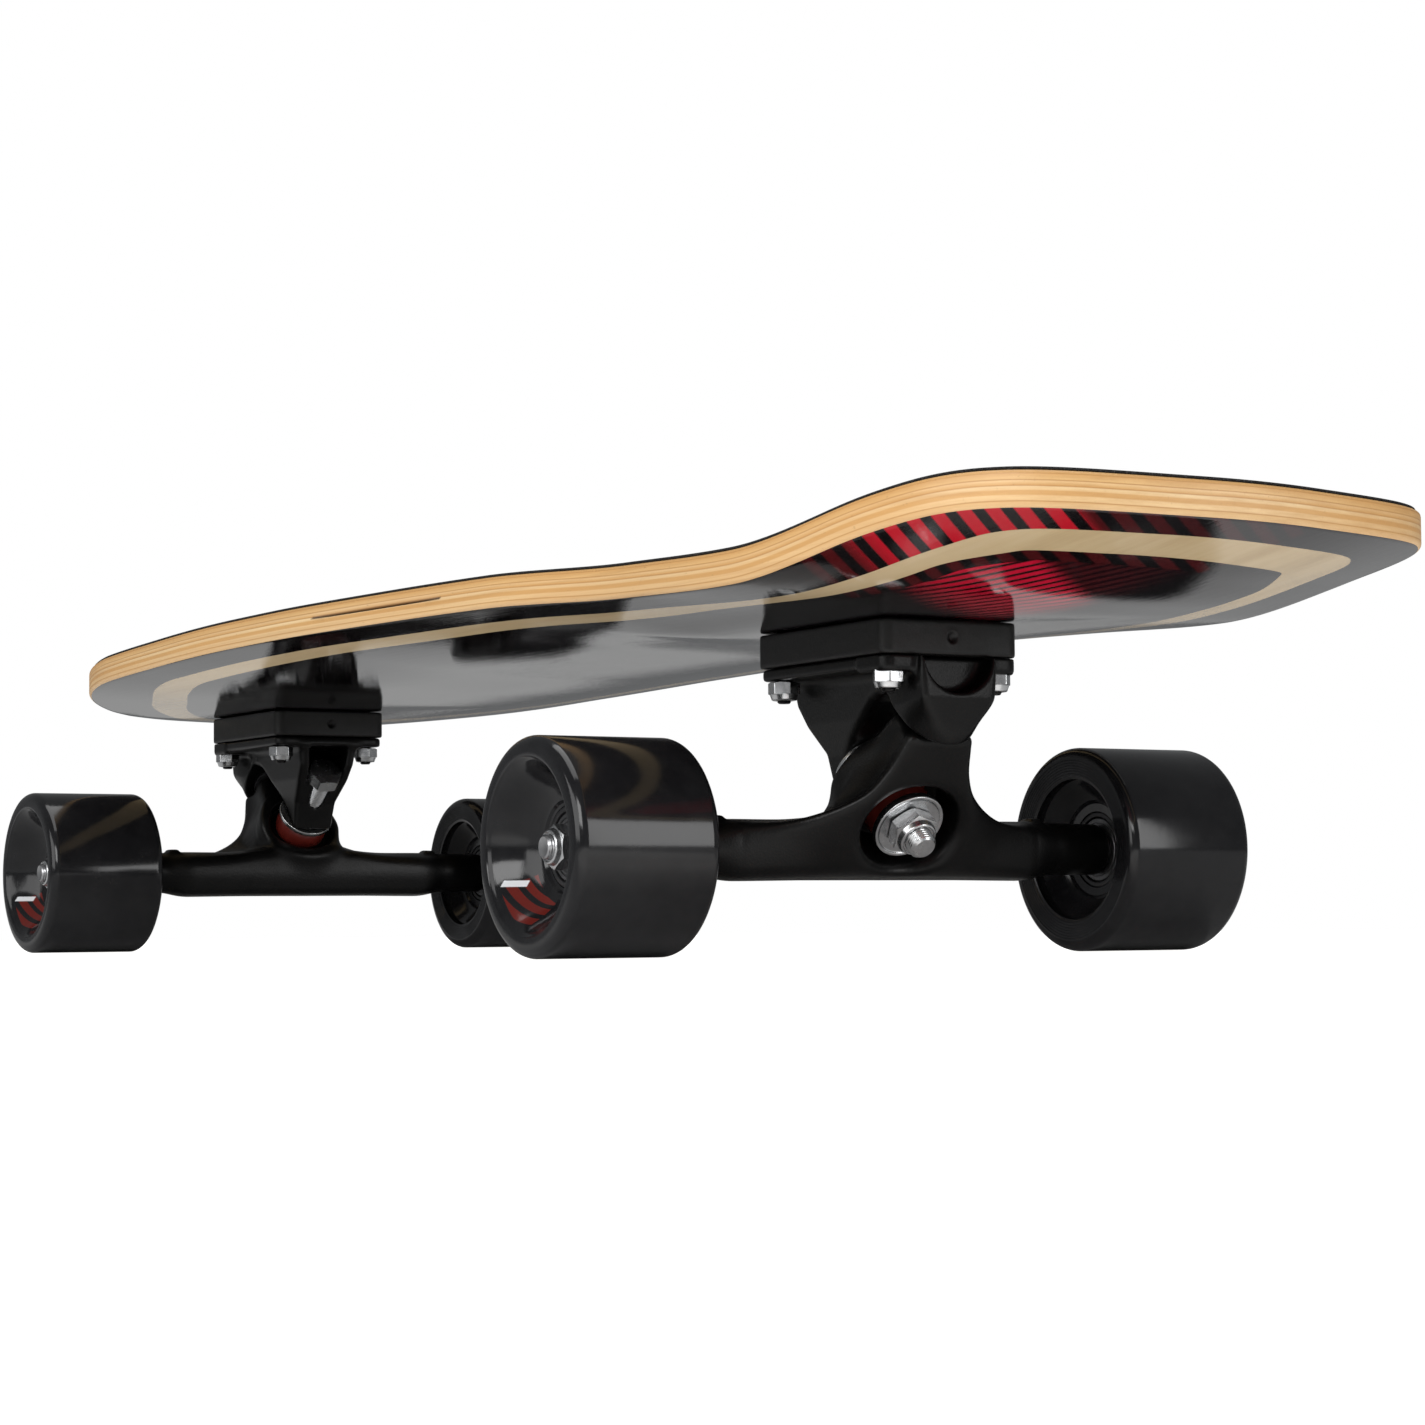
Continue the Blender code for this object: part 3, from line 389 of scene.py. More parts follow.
def zinc_look(name="zinc_plate", colour=(0.74, 0.75, 0.76), low=0.16, high=0.34):
    """Bright zinc plating with faint turning marks and dull patches."""
    stops = [(0.3, [c * 0.78 for c in colour]), (0.6, colour),
             (0.8, (colour[0], colour[1] * 0.985, colour[2] * 0.94))]
    cloud = dict(scale=240, detail=5, roughness=0.65)
    marks = dict(scale=2600, stretch=(1, 1, 0.15), detail=2)
    return clouded_look(name, colour, 0.24, stops, low, high, cloud, (0.12, 0.0002), marks, Metallic=1.0)


def oxide_look():
    return clouded_look("black_oxide", (0.03, 0.03, 0.032), 0.36,
                        [(0.3, (0.02, 0.02, 0.022)), (0.75, (0.06, 0.058, 0.056))], 0.28, 0.5,
                        dict(scale=500), (0.15, 0.0002), Metallic=0.85)


def urethane_look():
    """Poured black urethane: turned faces with fine rings, and printed marks on the outboard dish."""
    look = Look("wheel_urethane", (0.008, 0.008, 0.009), 0.12, IOR=1.45)
    x, y, z = look.place()
    radius = look.math("SQRT", look.plus(look.times(x, x), look.times(y, y)))
    dust = look.noise(90, detail=6, roughness=0.7)
    base = look.ramp(dust, [(0.3, (0.006, 0.006, 0.007)), (0.75, (0.013, 0.013, 0.014))])
    face = look.between(z, *DISH_PRINT_Z, 0.0002)
    angle = look.math("ARCTAN2", y, x)
    swept = look.plus(radius, look.times(angle, DISH_STRIPE_SLANT))
    strip = look.stripes(swept, DISH_STRIPE_PERIOD, (0.0, 0.60), 0.03)
    sweep = look.between(angle, *DISH_STRIPE_SWEEP, 0.01)
    ring = look.between(radius, *DISH_STRIPE_R, 0.0001)
    base = look.mix(look.times(strip, sweep, ring, face), base, (0.13, 0.014, 0.010))
    bar = look.times(look.between(y, *DISH_BAR_Y, 0.0001), look.between(x, *DISH_BAR_X, 0.0001), face)
    look.colour(look.mix(bar, base, (0.75, 0.76, 0.78)))
    look.rough(dust, 0.08, 0.16)
    rings = look.math("SINE", look.times(radius, TURNING_RINGS))
    look.bump(look.plus(look.times(rings, 0.10), dust), 0.05, 0.0004)
    return look.material


def plain_look(name, colour, low, high, scale=300, **sockets):
    stops = [(0.3, [c * 0.75 for c in colour]), (0.7, [min(1, c * 1.2) for c in colour])]
    return clouded_look(name, colour, (low + high) / 2, stops, low, high,
                        dict(scale=scale, detail=5, roughness=0.65), (0.15, 0.0003), **sockets)


# ---------------- meshes

def finished(bm, matrix=None, sharp=40):
    """A smooth-shaded mesh in metres from a bmesh in millimetres."""
    bmesh.ops.remove_doubles(bm, verts=bm.verts, dist=0.0005)
    if matrix is not None:
        bm.transform(matrix)
    bmesh.ops.recalc_face_normals(bm, faces=bm.faces)
    bm.transform(Matrix.Scale(MM, 4))
    mesh = bpy.data.meshes.new("mesh")
    bm.to_mesh(mesh)
    bm.free()
    mesh.shade_smooth()
    mesh.set_sharp_from_angle(angle=math.radians(sharp))
    return mesh


def turned(profile, matrix=None, steps=72, closed=True, sharp=40):
    """A turned solid from (radius, height) points down the outside and, when closed, back up the bore."""
    bm = bmesh.new()
    verts = [bm.verts.new((r, 0.0, z)) for r, z in profile]
    for a, b in zip(verts, verts[1:]):
        bm.edges.new((a, b))
    if closed:
        bm.edges.new((verts[-1], verts[0]))
    bmesh.ops.spin(bm, geom=bm.verts[:] + bm.edges[:], axis=(0, 0, 1), cent=(0, 0, 0), steps=steps,
                   angle=2 * math.pi, use_merge=False)
    return finished(bm, matrix, sharp)


def arc(centre, radius, start, end, steps=8):
    """Points of an arc in degrees, as (radius, height) pairs."""
    angles = np.radians(np.linspace(start, end, steps + 1))
    return [(centre[0] + radius * math.cos(a), centre[1] + radius * math.sin(a)) for a in angles]


def cylinder(radius, low, high, steps=72):
    return turned([(0, high), (radius, high), (radius, low), (0, low)], steps=steps, closed=False)


def joined(parts, matrix=None):
    """One mesh out of several that are already in metres."""
    bm = bmesh.new()
    for part in parts:
        bm.from_mesh(part)
    bm.transform(Matrix.Scale(1 / MM, 4))
    return finished(bm, matrix)


def eased(points, radius, steps=4):
    """A closed outline of points with every corner rounded to this radius, where its edges have room."""
    out = []
    count = len(points)
    for i, point in enumerate(points):
        before, here, after = (Vector(points[j % count]) for j in (i - 1, i, i + 1))
        to_before, to_after = before - here, after - here
        r = min(radius, 0.45 * to_before.length, 0.45 * to_after.length)
        start, end = here + to_before.normalized() * r, here + to_after.normalized() * r
        for k in range(steps + 1):
            t = k / steps
            out.append(tuple(start * (1 - t) ** 2 + here * 2 * t * (1 - t) + end * t * t))
    return out


def skin(bm, rings):
    """Faces between each ring of vertices and the next."""
    for a, b in zip(rings, rings[1:]):
        for i, corner in enumerate(a):
            j = (i + 1) % len(a)
            bm.faces.new((corner, a[j], b[j], b[i]))


def frame_along(direction, origin=(0, 0, 0)):
    z = Vector(direction).normalized()
    y = Vector((0.0, 1.0, 0.0)) if abs(z.y) < 0.9 else Vector((0.0, 0.0, 1.0))
    x = y.cross(z).normalized()
    return Matrix.Translation(Vector(origin)) @ Matrix((x, z.cross(x), z)).transposed().to_4x4()


KING = frame_along(-DOWN, FACE_POINT)
STEER = frame_along(STEER_UP, RING_CENTRE)


def smooth_curve(points, x):
    """The value at x of a curve through the points that never overshoots them."""
    xs, ys = [p[0] for p in points], [p[1] for p in points]
    if x <= xs[0]:
        return ys[0]
    if x >= xs[-1]:
        return ys[-1]
    slopes = [(ys[i + 1] - ys[i]) / (xs[i + 1] - xs[i]) for i in range(len(xs) - 1)]
    tangents = [slopes[0]]
    for a, b in zip(slopes, slopes[1:]):
        tangents.append(0.0 if a * b <= 0 else 2 * a * b / (a + b))
    tangents.append(slopes[-1])
    i = max(k for k in range(len(xs) - 1) if xs[k] <= x)
    h = xs[i + 1] - xs[i]
    t = (x - xs[i]) / h
    return ((1 + 2 * t) * (1 - t) ** 2 * ys[i] + t * (1 - t) ** 2 * h * tangents[i]
            + t * t * (3 - 2 * t) * ys[i + 1] + t * t * (t - 1) * h * tangents[i + 1])


def curve_of(points, values):
    """smooth_curve for an array."""
    return np.array([smooth_curve(points, float(v)) for v in values])


# ---------------- deck and grip

def deck_half_width(x):
    width = smooth_curve(DECK_HALF_WIDTH, x)
    nose = (x - (DECK_NOSE - NOSE_CAP)) / NOSE_CAP
    tail = ((DECK_TAIL + TAIL_CAP) - x) / TAIL_CAP
    if nose > 0:
        width *= math.sqrt(max(0.0, 1 - nose ** NOSE_CAP_POWER))
    if tail > 0:
        width *= math.sqrt(max(0.0, 1 - tail ** TAIL_CAP_POWER))
    return width


def step(value, low, high):
    """0 below the first value, 1 above the second, and smooth between them."""
    share = min(max((value - low) / (high - low), 0.0), 1.0)
    return share * share * (3 - 2 * share)


def deck_lean(x, y):
    """How far the deck's slight lean lowers it here; it stays level on the two pads."""
    near_pad = min(abs(x - FRONT_AXLE_X), abs(x - REAR_AXLE_X))
    return math.tan(DECK_LEAN) * y * max(step(abs(y), *LEAN_OFF_CENTRE), step(near_pad, *LEAN_OFF_PAD))


def deck_underside(x, y):
    centre = smooth_curve(DECK_CENTRE_Z, x)
    rise = smooth_curve(DECK_EDGE_Z, x) - centre
    reach = smooth_curve(DECK_HALF_WIDTH, x) - DECK_FLAT_HALF
    return centre + rise * (max(0.0, abs(y) - DECK_FLAT_HALF) / reach) ** 2 - deck_lean(x, y)


def deck_outline():
    """Points round the deck, evenly spaced, from the tail up the right side to the nose and back."""
    turn = np.linspace(0, math.pi / 2, 200)
    xs = np.concatenate([DECK_TAIL + TAIL_CAP * (1 - np.cos(turn)),
                         np.linspace(DECK_TAIL + TAIL_CAP, DECK_NOSE - NOSE_CAP, 400)[1:-1],
                         DECK_NOSE - NOSE_CAP + NOSE_CAP * np.sin(turn)])
    half = np.array([(x, -deck_half_width(x)) for x in xs])
    run = np.concatenate([[0], np.cumsum(np.hypot(*np.diff(half, axis=0).T))])
    at = np.linspace(0, run[-1], OUTLINE_STEPS + 1)
    side = np.stack([np.interp(at, run, half[:, 0]), np.interp(at, run, half[:, 1])], 1)
    side[0, 1] = side[-1, 1] = 0.0
    return np.concatenate([side, side[-2:0:-1] * (1, -1)])


def inward(outline, distance):
    """The outline moved in by this distance along its normals."""
    along = np.roll(outline, -1, axis=0) - np.roll(outline, 1, axis=0)
    along /= np.hypot(along[:, 0], along[:, 1])[:, None]
    return outline + np.stack([-along[:, 1], along[:, 0]], 1) * distance


def insets_of(points, outline):
    """How far inside the outline each point lies."""
    return np.array([np.hypot(outline[:, 0] - x, outline[:, 1] - y).min() for x, y in points])


def stripe_bounds(x):
    """Inset of the stripe's outer and inner lines, wider apart and farther in towards both ends."""
    outer = 16.2 + 6.8 * step(x, 170, 250) - 3.2 * step(x, 330, 372) + 11.5 * step(-x, 200, 290)
    inner = 27.6 + 6.4 * step(x, 190, 290) + 8.2 * step(x, 312, 348) + 15.5 * step(-x, 190, 285)
    return outer, inner


def slit_depth(x, y):
    """Depth of the open gap between two plies on the right edge, towards the tail."""
    share = (x - SLIT_X[0]) / (SLIT_X[1] - SLIT_X[0])
    return SLIT_DEPTH * math.sin(math.pi * share) ** 0.6 if 0 < share < 1 and y < 0 else 0.0


def deck_rows(low, high, corner, inset, outline):
    """Rings of points from the middle of the underside, round the edge, to the middle of the top."""
    spine = np.stack([np.clip(outline[:, 0], DECK_TAIL + 130, DECK_NOSE - 95), np.zeros(len(outline))], 1)
    arc = [(corner * (1 - math.sin(a)), corner * (1 - math.cos(a))) for a in np.linspace(0, math.pi / 2, 6)]
    thick = high - low
    wall = [(0.0, up) for up in SLIT_ROWS] if thick > 5 else []
    rim = arc + wall + [(i, thick - u) for i, u in reversed(arc)]
    inner = inward(outline, inset + corner + 2.0)
    rows = [(inner * (1 - t) + spine * t, low) for t in np.linspace(1, 0, SPINE_STEPS + 1)]
    for i, u in rim:
        points = inward(outline, inset + i)
        if thick > 5 and u == SLIT_ROWS[1]:
            depths = np.array([slit_depth(x, y) for x, y in outline])
            along = inward(outline, 1.0) - outline
            points = points + along * depths[:, None]
        rows.append((points, low + u))
    return rows + [(inner * (1 - t) + spine * t, high) for t in np.linspace(0, 1, SPINE_STEPS + 1)]


def deck_layer(low, high, corner, inset):
    """A closed layer that follows the deck's surface. Its attributes place the plies, the print and painted
    shade:
    up above the underside, band across the stripe, and slit inside the gap between two plies, where that gap
    is painted dark as shade."""
    outline = deck_outline()
    bm = bmesh.new()
    layers = {name: bm.verts.layers.float.new(name) for name in ("up", "band", "slit")}
    rings = []
    for points, up in deck_rows(low, high, corner, inset, outline):
        ring = []
        for (x, y), depth in zip(points, insets_of(points, outline)):
            vert = bm.verts.new((x, y, deck_underside(x, y) + up))
            outer, inner = stripe_bounds(x)
            vert[layers["up"]] = up
            vert[layers["band"]] = (depth - outer) / (inner - outer)
            # Painted shade: vertices of the open gap between two plies are marked here so that ply_look
            # colours them near-black.
            open_gap = slit_depth(x, y) > 0.25 and abs(up - SLIT_ROWS[1]) < 0.1
            vert[layers["slit"]] = 1.0 if open_gap else 0.0
            ring.append(vert)
        rings.append(ring)
    skin(bm, rings)
    return bm


def deck_mesh():
    bm = deck_layer(0.0, DECK_THICK, EDGE_ROUND, 0.0)
    bmesh.ops.remove_doubles(bm, verts=bm.verts, dist=0.01)
    bmesh.ops.recalc_face_normals(bm, faces=bm.faces)
    up = bm.verts.layers.float["up"]
    for face in bm.faces:
        under = max(v[up] for v in face.verts) < 0.25
        face.material_index = 1 if under else 0
    return finished(bm, sharp=60)


def bolt_places():
    """The eight deck bolts: four at the front truck, then four at the rear."""
    return [(axle_x + outboard * (BOLT_CENTRE_X + across * BOLT_SPACING[0] / 2), side * BOLT_SPACING[1] / 2)
            for axle_x, outboard in ((FRONT_AXLE_X, 1), (REAR_AXLE_X, -1))
            for across in (-1, 1) for side in (1, -1)]


def carved(mesh, cutters, operation="DIFFERENCE"):
    """The mesh after this boolean operation with each cutter."""
    scene = bpy.context.scene.collection
    base = bpy.data.objects.new("base", mesh)
    scene.objects.link(base)
    helpers = []
    for cutter in cutters:
        tool = bpy.data.objects.new("tool", cutter)
        scene.objects.link(tool)
        cut = base.modifiers.new("cut", "BOOLEAN")
        cut.operation, cut.object, cut.solver = operation, tool, "EXACT"
        helpers.append(tool)
    graph = bpy.context.evaluated_depsgraph_get()
    made = bpy.data.meshes.new_from_object(base.evaluated_get(graph))
    for obj in helpers + [base]:
        bpy.data.objects.remove(obj, do_unlink=True)
    return made


def grip_mesh():
    low = DECK_THICK + GAP
    mesh = finished(deck_layer(low, low + GRIP_THICK, 0.3, GRIP_INSET), sharp=60)
    holes = []
    for x, y in bolt_places():
        hole = cylinder(5.3, 100, 140, 32)
        hole.transform(Matrix.Translation((x * MM, y * MM, 0)))
        holes.append(hole)
    cut = carved(mesh, holes)
    cut.set_sharp_from_angle(angle=math.radians(60))
    return cut


# ---------------- castings, as rounded distance fields

def blend_min(a, b, k):
    h = np.maximum(k - np.abs(a - b), 0.0) / k
    return np.minimum(a, b) - h * h * k * 0.25


def blend_max(a, b, k):
    return -blend_min(-a, -b, k)


def common(first, *others):
    """Where all these solids overlap, with sharp edges."""
    for other in others:
        first = np.maximum(first, other)
    return first


def along_axis(X, Z, origin, direction):
    """Distance along a line in the upright plane, and how far off it in that plane."""
    dx, dz = X - origin.x, Z - origin.z
    return dx * direction.x + dz * direction.z, -dx * direction.z + dz * direction.x


def polygon_field(X, Z, points):
    """Signed distance to a polygon, negative inside."""
    nearest = np.full(X.shape, 1e9, np.float32)
    inside = np.zeros(X.shape, bool)
    for (ax, az), (bx, bz) in zip(points, points[1:] + points[:1]):
        ex, ez = bx - ax, bz - az
        t = np.clip(((X - ax) * ex + (Z - az) * ez) / (ex * ex + ez * ez), 0, 1)
        nearest = np.minimum(nearest, np.hypot(X - ax - ex * t, Z - az - ez * t))
        crosses = (az > Z) != (bz > Z)
        if ez:
            inside ^= crosses & (X < ax + ex * (Z - az) / ez)
    return np.where(inside, -nearest, nearest)


def surface_of(field, low, high, cell):
    """A mesh of the zero surface of field(X, Y, Z), worked out for Y >= 0 and mirrored."""
    xs, ys, zs = (np.arange(a, b + cell, cell, dtype=np.float32) for a, b in zip(low, high))
    half = field(*np.meshgrid(xs, ys, zs, indexing="ij")).astype(np.float32)
    whole = np.concatenate([half[:, :0:-1], half], axis=1)
    grid = openvdb.FloatGrid(5.0)
    grid.copyFromArray(np.ascontiguousarray(whole))
    points, quads = grid.convertToQuads(isovalue=0.0)
    points = points * cell + np.array([low[0], -cell * (len(ys) - 1), low[2]])
    mesh = bpy.data.meshes.new("casting")
    mesh.from_pydata(points.tolist(), [], quads.tolist())
    bm = bmesh.new()
    bm.from_mesh(mesh)
    bpy.data.meshes.remove(mesh)
    for _ in range(3):
        bmesh.ops.smooth_vert(bm, verts=bm.verts, factor=0.5, use_axis_x=True, use_axis_y=True,
                              use_axis_z=True)
    return finished(bm, sharp=180)


def plate_plan(X, Y, size):
    """Distance to the outline of a plate with rounded corners, seen from above."""
    qx, qy = np.abs(X - PLATE_CENTRE_X) - size[0] / 2 + PLATE_CORNER, Y - size[1] / 2 + PLATE_CORNER
    return np.hypot(np.maximum(qx, 0), np.maximum(qy, 0)) + np.minimum(np.maximum(qx, qy), 0) - PLATE_CORNER


def without_bolt_holes(body, X, Y):
    for dx in (-1, 1):
        hole = np.hypot(X - BOLT_CENTRE_X - dx * BOLT_SPACING[0] / 2, Y - BOLT_SPACING[1] / 2) - BOLT_HOLE_R
        body = np.maximum(body, -hole)
    return body


def hanger_beam(X, Y, Z):
    """The cross beam: a flat bottom, a sloping outboard face, and a hollow top behind its ridge."""
    off = Y[0, :, 0]
    tables = (INBOARD_RIDGE_Z, OUTBOARD_RIDGE_X, OUTBOARD_RIDGE_Z, OUTBOARD_FOOT_X)
    ridge_in, ridge_x, ridge_z, foot = (curve_of(table, off)[None, :, None] for table in tables)
    rise_x, rise_z = ridge_x - foot, ridge_z - HANGER_BOTTOM_Z
    outboard = ((X - foot) * rise_z - (Z - HANGER_BOTTOM_Z) * rise_x) / np.hypot(rise_x, rise_z)
    span_x, span_z = ridge_x - HANGER_INBOARD_X, ridge_z - ridge_in
    top = ((Z - ridge_in) * span_x - (X - HANGER_INBOARD_X) * span_z) / np.hypot(span_x, span_z)
    share = np.clip((X - HANGER_INBOARD_X) / span_x, 0, 1)
    top = top + 4 * share * (1 - share) * np.clip(4.5 - off * 0.07, 0.5, 4.5)[None, :, None]
    beam = blend_max(blend_max(HANGER_INBOARD_X - X, HANGER_BOTTOM_Z - Z, 3.0), outboard, 4.0)
    return blend_max(blend_max(beam, top, 5.0), Y - BEAM_HALF, 10.0)


def hanger_field(X, Y, Z):
    off = Y[0, :, 0]
    collar = np.hypot(X, Z - AXLE_Z) - curve_of(COLLAR_R, off)[None, :, None]
    collar = blend_max(collar, Y - HANGER_HALF, 1.0)
    body = blend_min(hanger_beam(X, Y, Z), collar, 6.0)
    ear = common(np.abs(X) - EAR_HALF[0], np.abs(Y - EAR_Y) - EAR_HALF[1], np.abs(Z - EAR_Z) - EAR_HALF[2])
    body = blend_min(body, ear, 3.0)
    s, d = along_axis(X, Z, RING_CENTRE, STEER_UP)
    t, across = along_axis(X, Z, FACE_POINT, -DOWN)
    web_half = np.interp(s, [w[0] for w in WEB_HALF], [w[1] for w in WEB_HALF])
    web = blend_max(blend_max(np.abs(d) - WEB_THICK_HALF, Y - web_half, 6.0),
                    np.abs(s - WEB_MIDDLE) - WEB_REACH, 2.0)
    off_axis, off_steer = np.hypot(across, Y), np.hypot(d, Y)
    ring = blend_max(off_axis - RING_OUTER_R, np.abs(t - RING_MIDDLE) - RING_HALF, 2.5)
    nose = common(np.hypot(off_steer, np.maximum(s - PIVOT_BALL, 0)) - PIVOT_NOSE_R, 20.0 - s)
    body = blend_min(blend_min(blend_min(body, web, 9.0), ring, 8.0), nose, 3.0)
    bushing = common(off_axis - BUSHING_SEAT_R, RING[1] - t)
    taper = 1.0 - RECESS_TAPER * np.clip(t + 6, 0, 20)
    recess = np.hypot(across / RECESS[0], Y / RECESS[1]) - taper
    recess = common(recess * RECESS_MEAN_R, t - RING[0])
    hole = common(off_axis - RING_HOLE_R, np.abs(t - 20) - 20)
    body = blend_max(body, -bushing, 2.0)
    return np.maximum(blend_max(body, -recess, 4.5), -hole)


def lobe_field(X, Y, Z, s, d):
    """The bucket round the pivot cup: a barrel on the steering axis with a sloping outboard face."""
    depth = LOBE_SIDE_Z - LOBE_BOTTOM_Z
    bowl = (np.hypot(Y / LOBE_HALF_Y, np.maximum(LOBE_SIDE_Z - Z, 0) / depth) - 1) * depth
    root = np.maximum(bowl, Y - LOBE_HALF_Y)
    barrel = blend_max(np.hypot(d, Y) - LOBE_HALF_Y, LOBE_END_S - s, 1.2)
    slope = (X - LOBE_X[1]) * math.cos(LOBE_DRAFT) - (Z - LOBE_DRAFT_Z) * math.sin(LOBE_DRAFT)
    ends = common(LOBE_X[0] - X, X - LOBE_X[1], slope)
    body = blend_max(blend_min(root, barrel, 3.0), ends, 1.8)
    return common(body, LOBE_END_S - s, Z - FLANGE_TOP_Z)


def baseplate_field(X, Y, Z):
    s, d = along_axis(X, Z, RING_CENTRE, STEER_UP)
    t, across = along_axis(X, Z, FACE_POINT, -DOWN)
    plan, thick = plate_plan(X, Y, FLANGE), FLANGE[2] / 2
    flange = blend_max(plan, np.abs(Z - FLANGE_TOP_Z + thick) - thick, 1.2)
    pad = blend_max(blend_max(plan, PAD_X - X, 1.5), np.maximum(PAD_BOTTOM_Z - Z, Z - FLANGE_TOP_Z), 1.2)
    seat = [KING @ Vector((a, 0, SEAT)) for a in (-SEAT_HALF, SEAT_HALF)]
    seat = sorted(((p.x, p.z) for p in seat), key=lambda p: p[1])
    side = polygon_field(X, Z, list(ARM_INBOARD) + seat + list(ARM_ARCH))
    arm_half = np.interp(Z, [a[0] for a in ARM_HALF], [a[1] for a in ARM_HALF])
    arm = blend_max(side, Y - arm_half, 3.0)
    body = blend_min(blend_min(flange, arm, 3.5), blend_min(pad, lobe_field(X, Y, Z, s, d), 2.5), 2.5)
    body = np.maximum(body, Z - FLANGE_TOP_Z)
    roof = FLANGE_TOP_Z - FLANGE[2] - 0.2
    pocket = common(KINGPIN_HEAD[0] - 0.6 - t, across - POCKET_REACH, Z - roof)
    pocket = blend_max(pocket, Y - arm_half + RIB, 2.5)
    down = (HOLLOW_TOP_Z - Z) / (HOLLOW_TOP_Z - HOLLOW_BOTTOM_Z)
    hollow = blend_max((np.hypot(Y / HOLLOW_HALF_Y, down) - 1) * HOLLOW_HALF_Y, HOLLOW_X - X, 3.0)
    off_axis, off_steer = np.hypot(across, Y), np.hypot(d, Y)
    shank = common(off_axis - KINGPIN_R - GAP, np.abs(t - 40) - 20)
    cup = common(off_steer - CUP_R, CUP_S[0] - s, s - CUP_S[1])
    body = blend_max(blend_max(body, -pocket, 1.6), -hollow, 1.2)
    return without_bolt_holes(common(body, -shank, -cup), X, Y)


def riser_field(X, Y, Z):
    """A rubber pad with a moulding gate mark in the middle of each end."""
    thick, up = RISER_SIZE[2] / 2, Z - RISER_TOP_Z + RISER_SIZE[2] / 2
    body = blend_max(plate_plan(X, Y, RISER_SIZE), np.abs(up) - thick, 0.7)
    for side in (-1, 1):
        face = X - PLATE_CENTRE_X - side * RISER_SIZE[0] / 2
        gate = np.hypot(np.hypot(Y, up), face - side * 0.6) - 1.9
        lip = np.hypot(np.hypot(Y, up) - 2.3, face + side * 0.35) - 0.45
        body = blend_min(blend_max(body, -gate, 0.7), lip, 0.4)
    return without_bolt_holes(body, X, Y)


# ---------------- fasteners and running gear

def threaded(radius, low, high, pitch, depth, matrix=None, chamfer=0.8, dimple=0.0):
    """A rod with a real screw thread, chamfered at its low end."""
    around, bm = 40, bmesh.new()
    rows = max(4, int((high - low) / (pitch / 8)))
    rings = []
    for i in range(rows + 1):
        z = low + (high - low) * i / rows
        limit = radius - max(0.0, chamfer - (z - low))
        ring = []
        for k in range(around):
            phase = (z / pitch - k / around) % 1.0
            r = min(limit, radius - depth * (1 - abs(2 * phase - 1)))
            a = 2 * math.pi * k / around
            ring.append(bm.verts.new((r * math.cos(a), r * math.sin(a), z)))
        rings.append(ring)
    skin(bm, rings)
    tip = bm.verts.new((0, 0, low + dimple))
    for k in range(around):
        bm.faces.new((rings[0][(k + 1) % around], rings[0][k], tip))
    bm.faces.new(rings[-1])
    return finished(bm, matrix, sharp=50)


def nut_mesh(flats, low, high, bore, collar_r, collar_low, matrix=None):
    """A lock nut: a hexagon with chamfered corners above a round collar at its low end."""
    corner = flats / math.sqrt(3)
    hexagon = bmesh.new()
    bmesh.ops.create_cone(hexagon, cap_ends=True, segments=6, radius1=corner, radius2=corner,
                          depth=high - low)
    bmesh.ops.translate(hexagon, verts=hexagon.verts, vec=(0, 0, (high + low) / 2))
    edges = [e for e in hexagon.edges if abs(e.verts[0].co.z - e.verts[1].co.z) > 0.1]
    bmesh.ops.bevel(hexagon, geom=edges, offset=0.25, segments=2, profile=0.5, affect="EDGES")
    slope = (corner - flats / 2) * 0.62
    shell = turned([(0, high), (flats / 2 * 0.97, high), (corner + 0.1, high - slope),
                    (corner + 0.1, low + slope), (flats / 2 * 0.97, low), (0, low)], closed=False)
    collar = turned([(0, low + 0.2), (collar_r + 0.5, low + 0.2)]
                    + arc((collar_r - 0.7, collar_low + 0.7), 0.7, 0, -90, 4)
                    + [(bore + 0.9, collar_low), (bore + 0.5, collar_low + 0.5), (0, collar_low + 0.5)],
                    closed=False)
    body = carved(finished(hexagon, sharp=30), [shell], "INTERSECT")
    body = carved(body, [collar], "UNION")
    body = carved(body, [cylinder(bore, collar_low - 2, high + 2)])
    if matrix is not None:
        body.transform(Matrix.Scale(MM, 4) @ matrix @ Matrix.Scale(1 / MM, 4))
    body.shade_smooth()
    body.set_sharp_from_angle(angle=math.radians(28))
    return body


def washer_mesh(outer, bore, low, high, matrix, cup=0.0):
    """A washer with eased edges; cup raises its outer rim past the low face."""
    points = [(outer, high), (outer, low - cup)]
    points += [(outer - 1.0, low - cup), (outer - 1.7, low)] if cup else []
    return turned(eased(points + [(bore, low), (bore, high)], 0.45), matrix)


def bushing_mesh(r_low, r_high, bore, low, high, matrix):
    """A bushing with a slight belly and moulded edges."""
    outside = [(r_high + (r_low - r_high) * t + 0.55 * math.sin(math.pi * t), high - (high - low) * t)
               for t in np.linspace(0, 1, 9)]
    outside[0], outside[-1] = (outside[0][0] - 0.5, high), (outside[-1][0] - 0.5, low)
    return turned(outside + [(bore, low), (bore, high)], matrix, sharp=50)


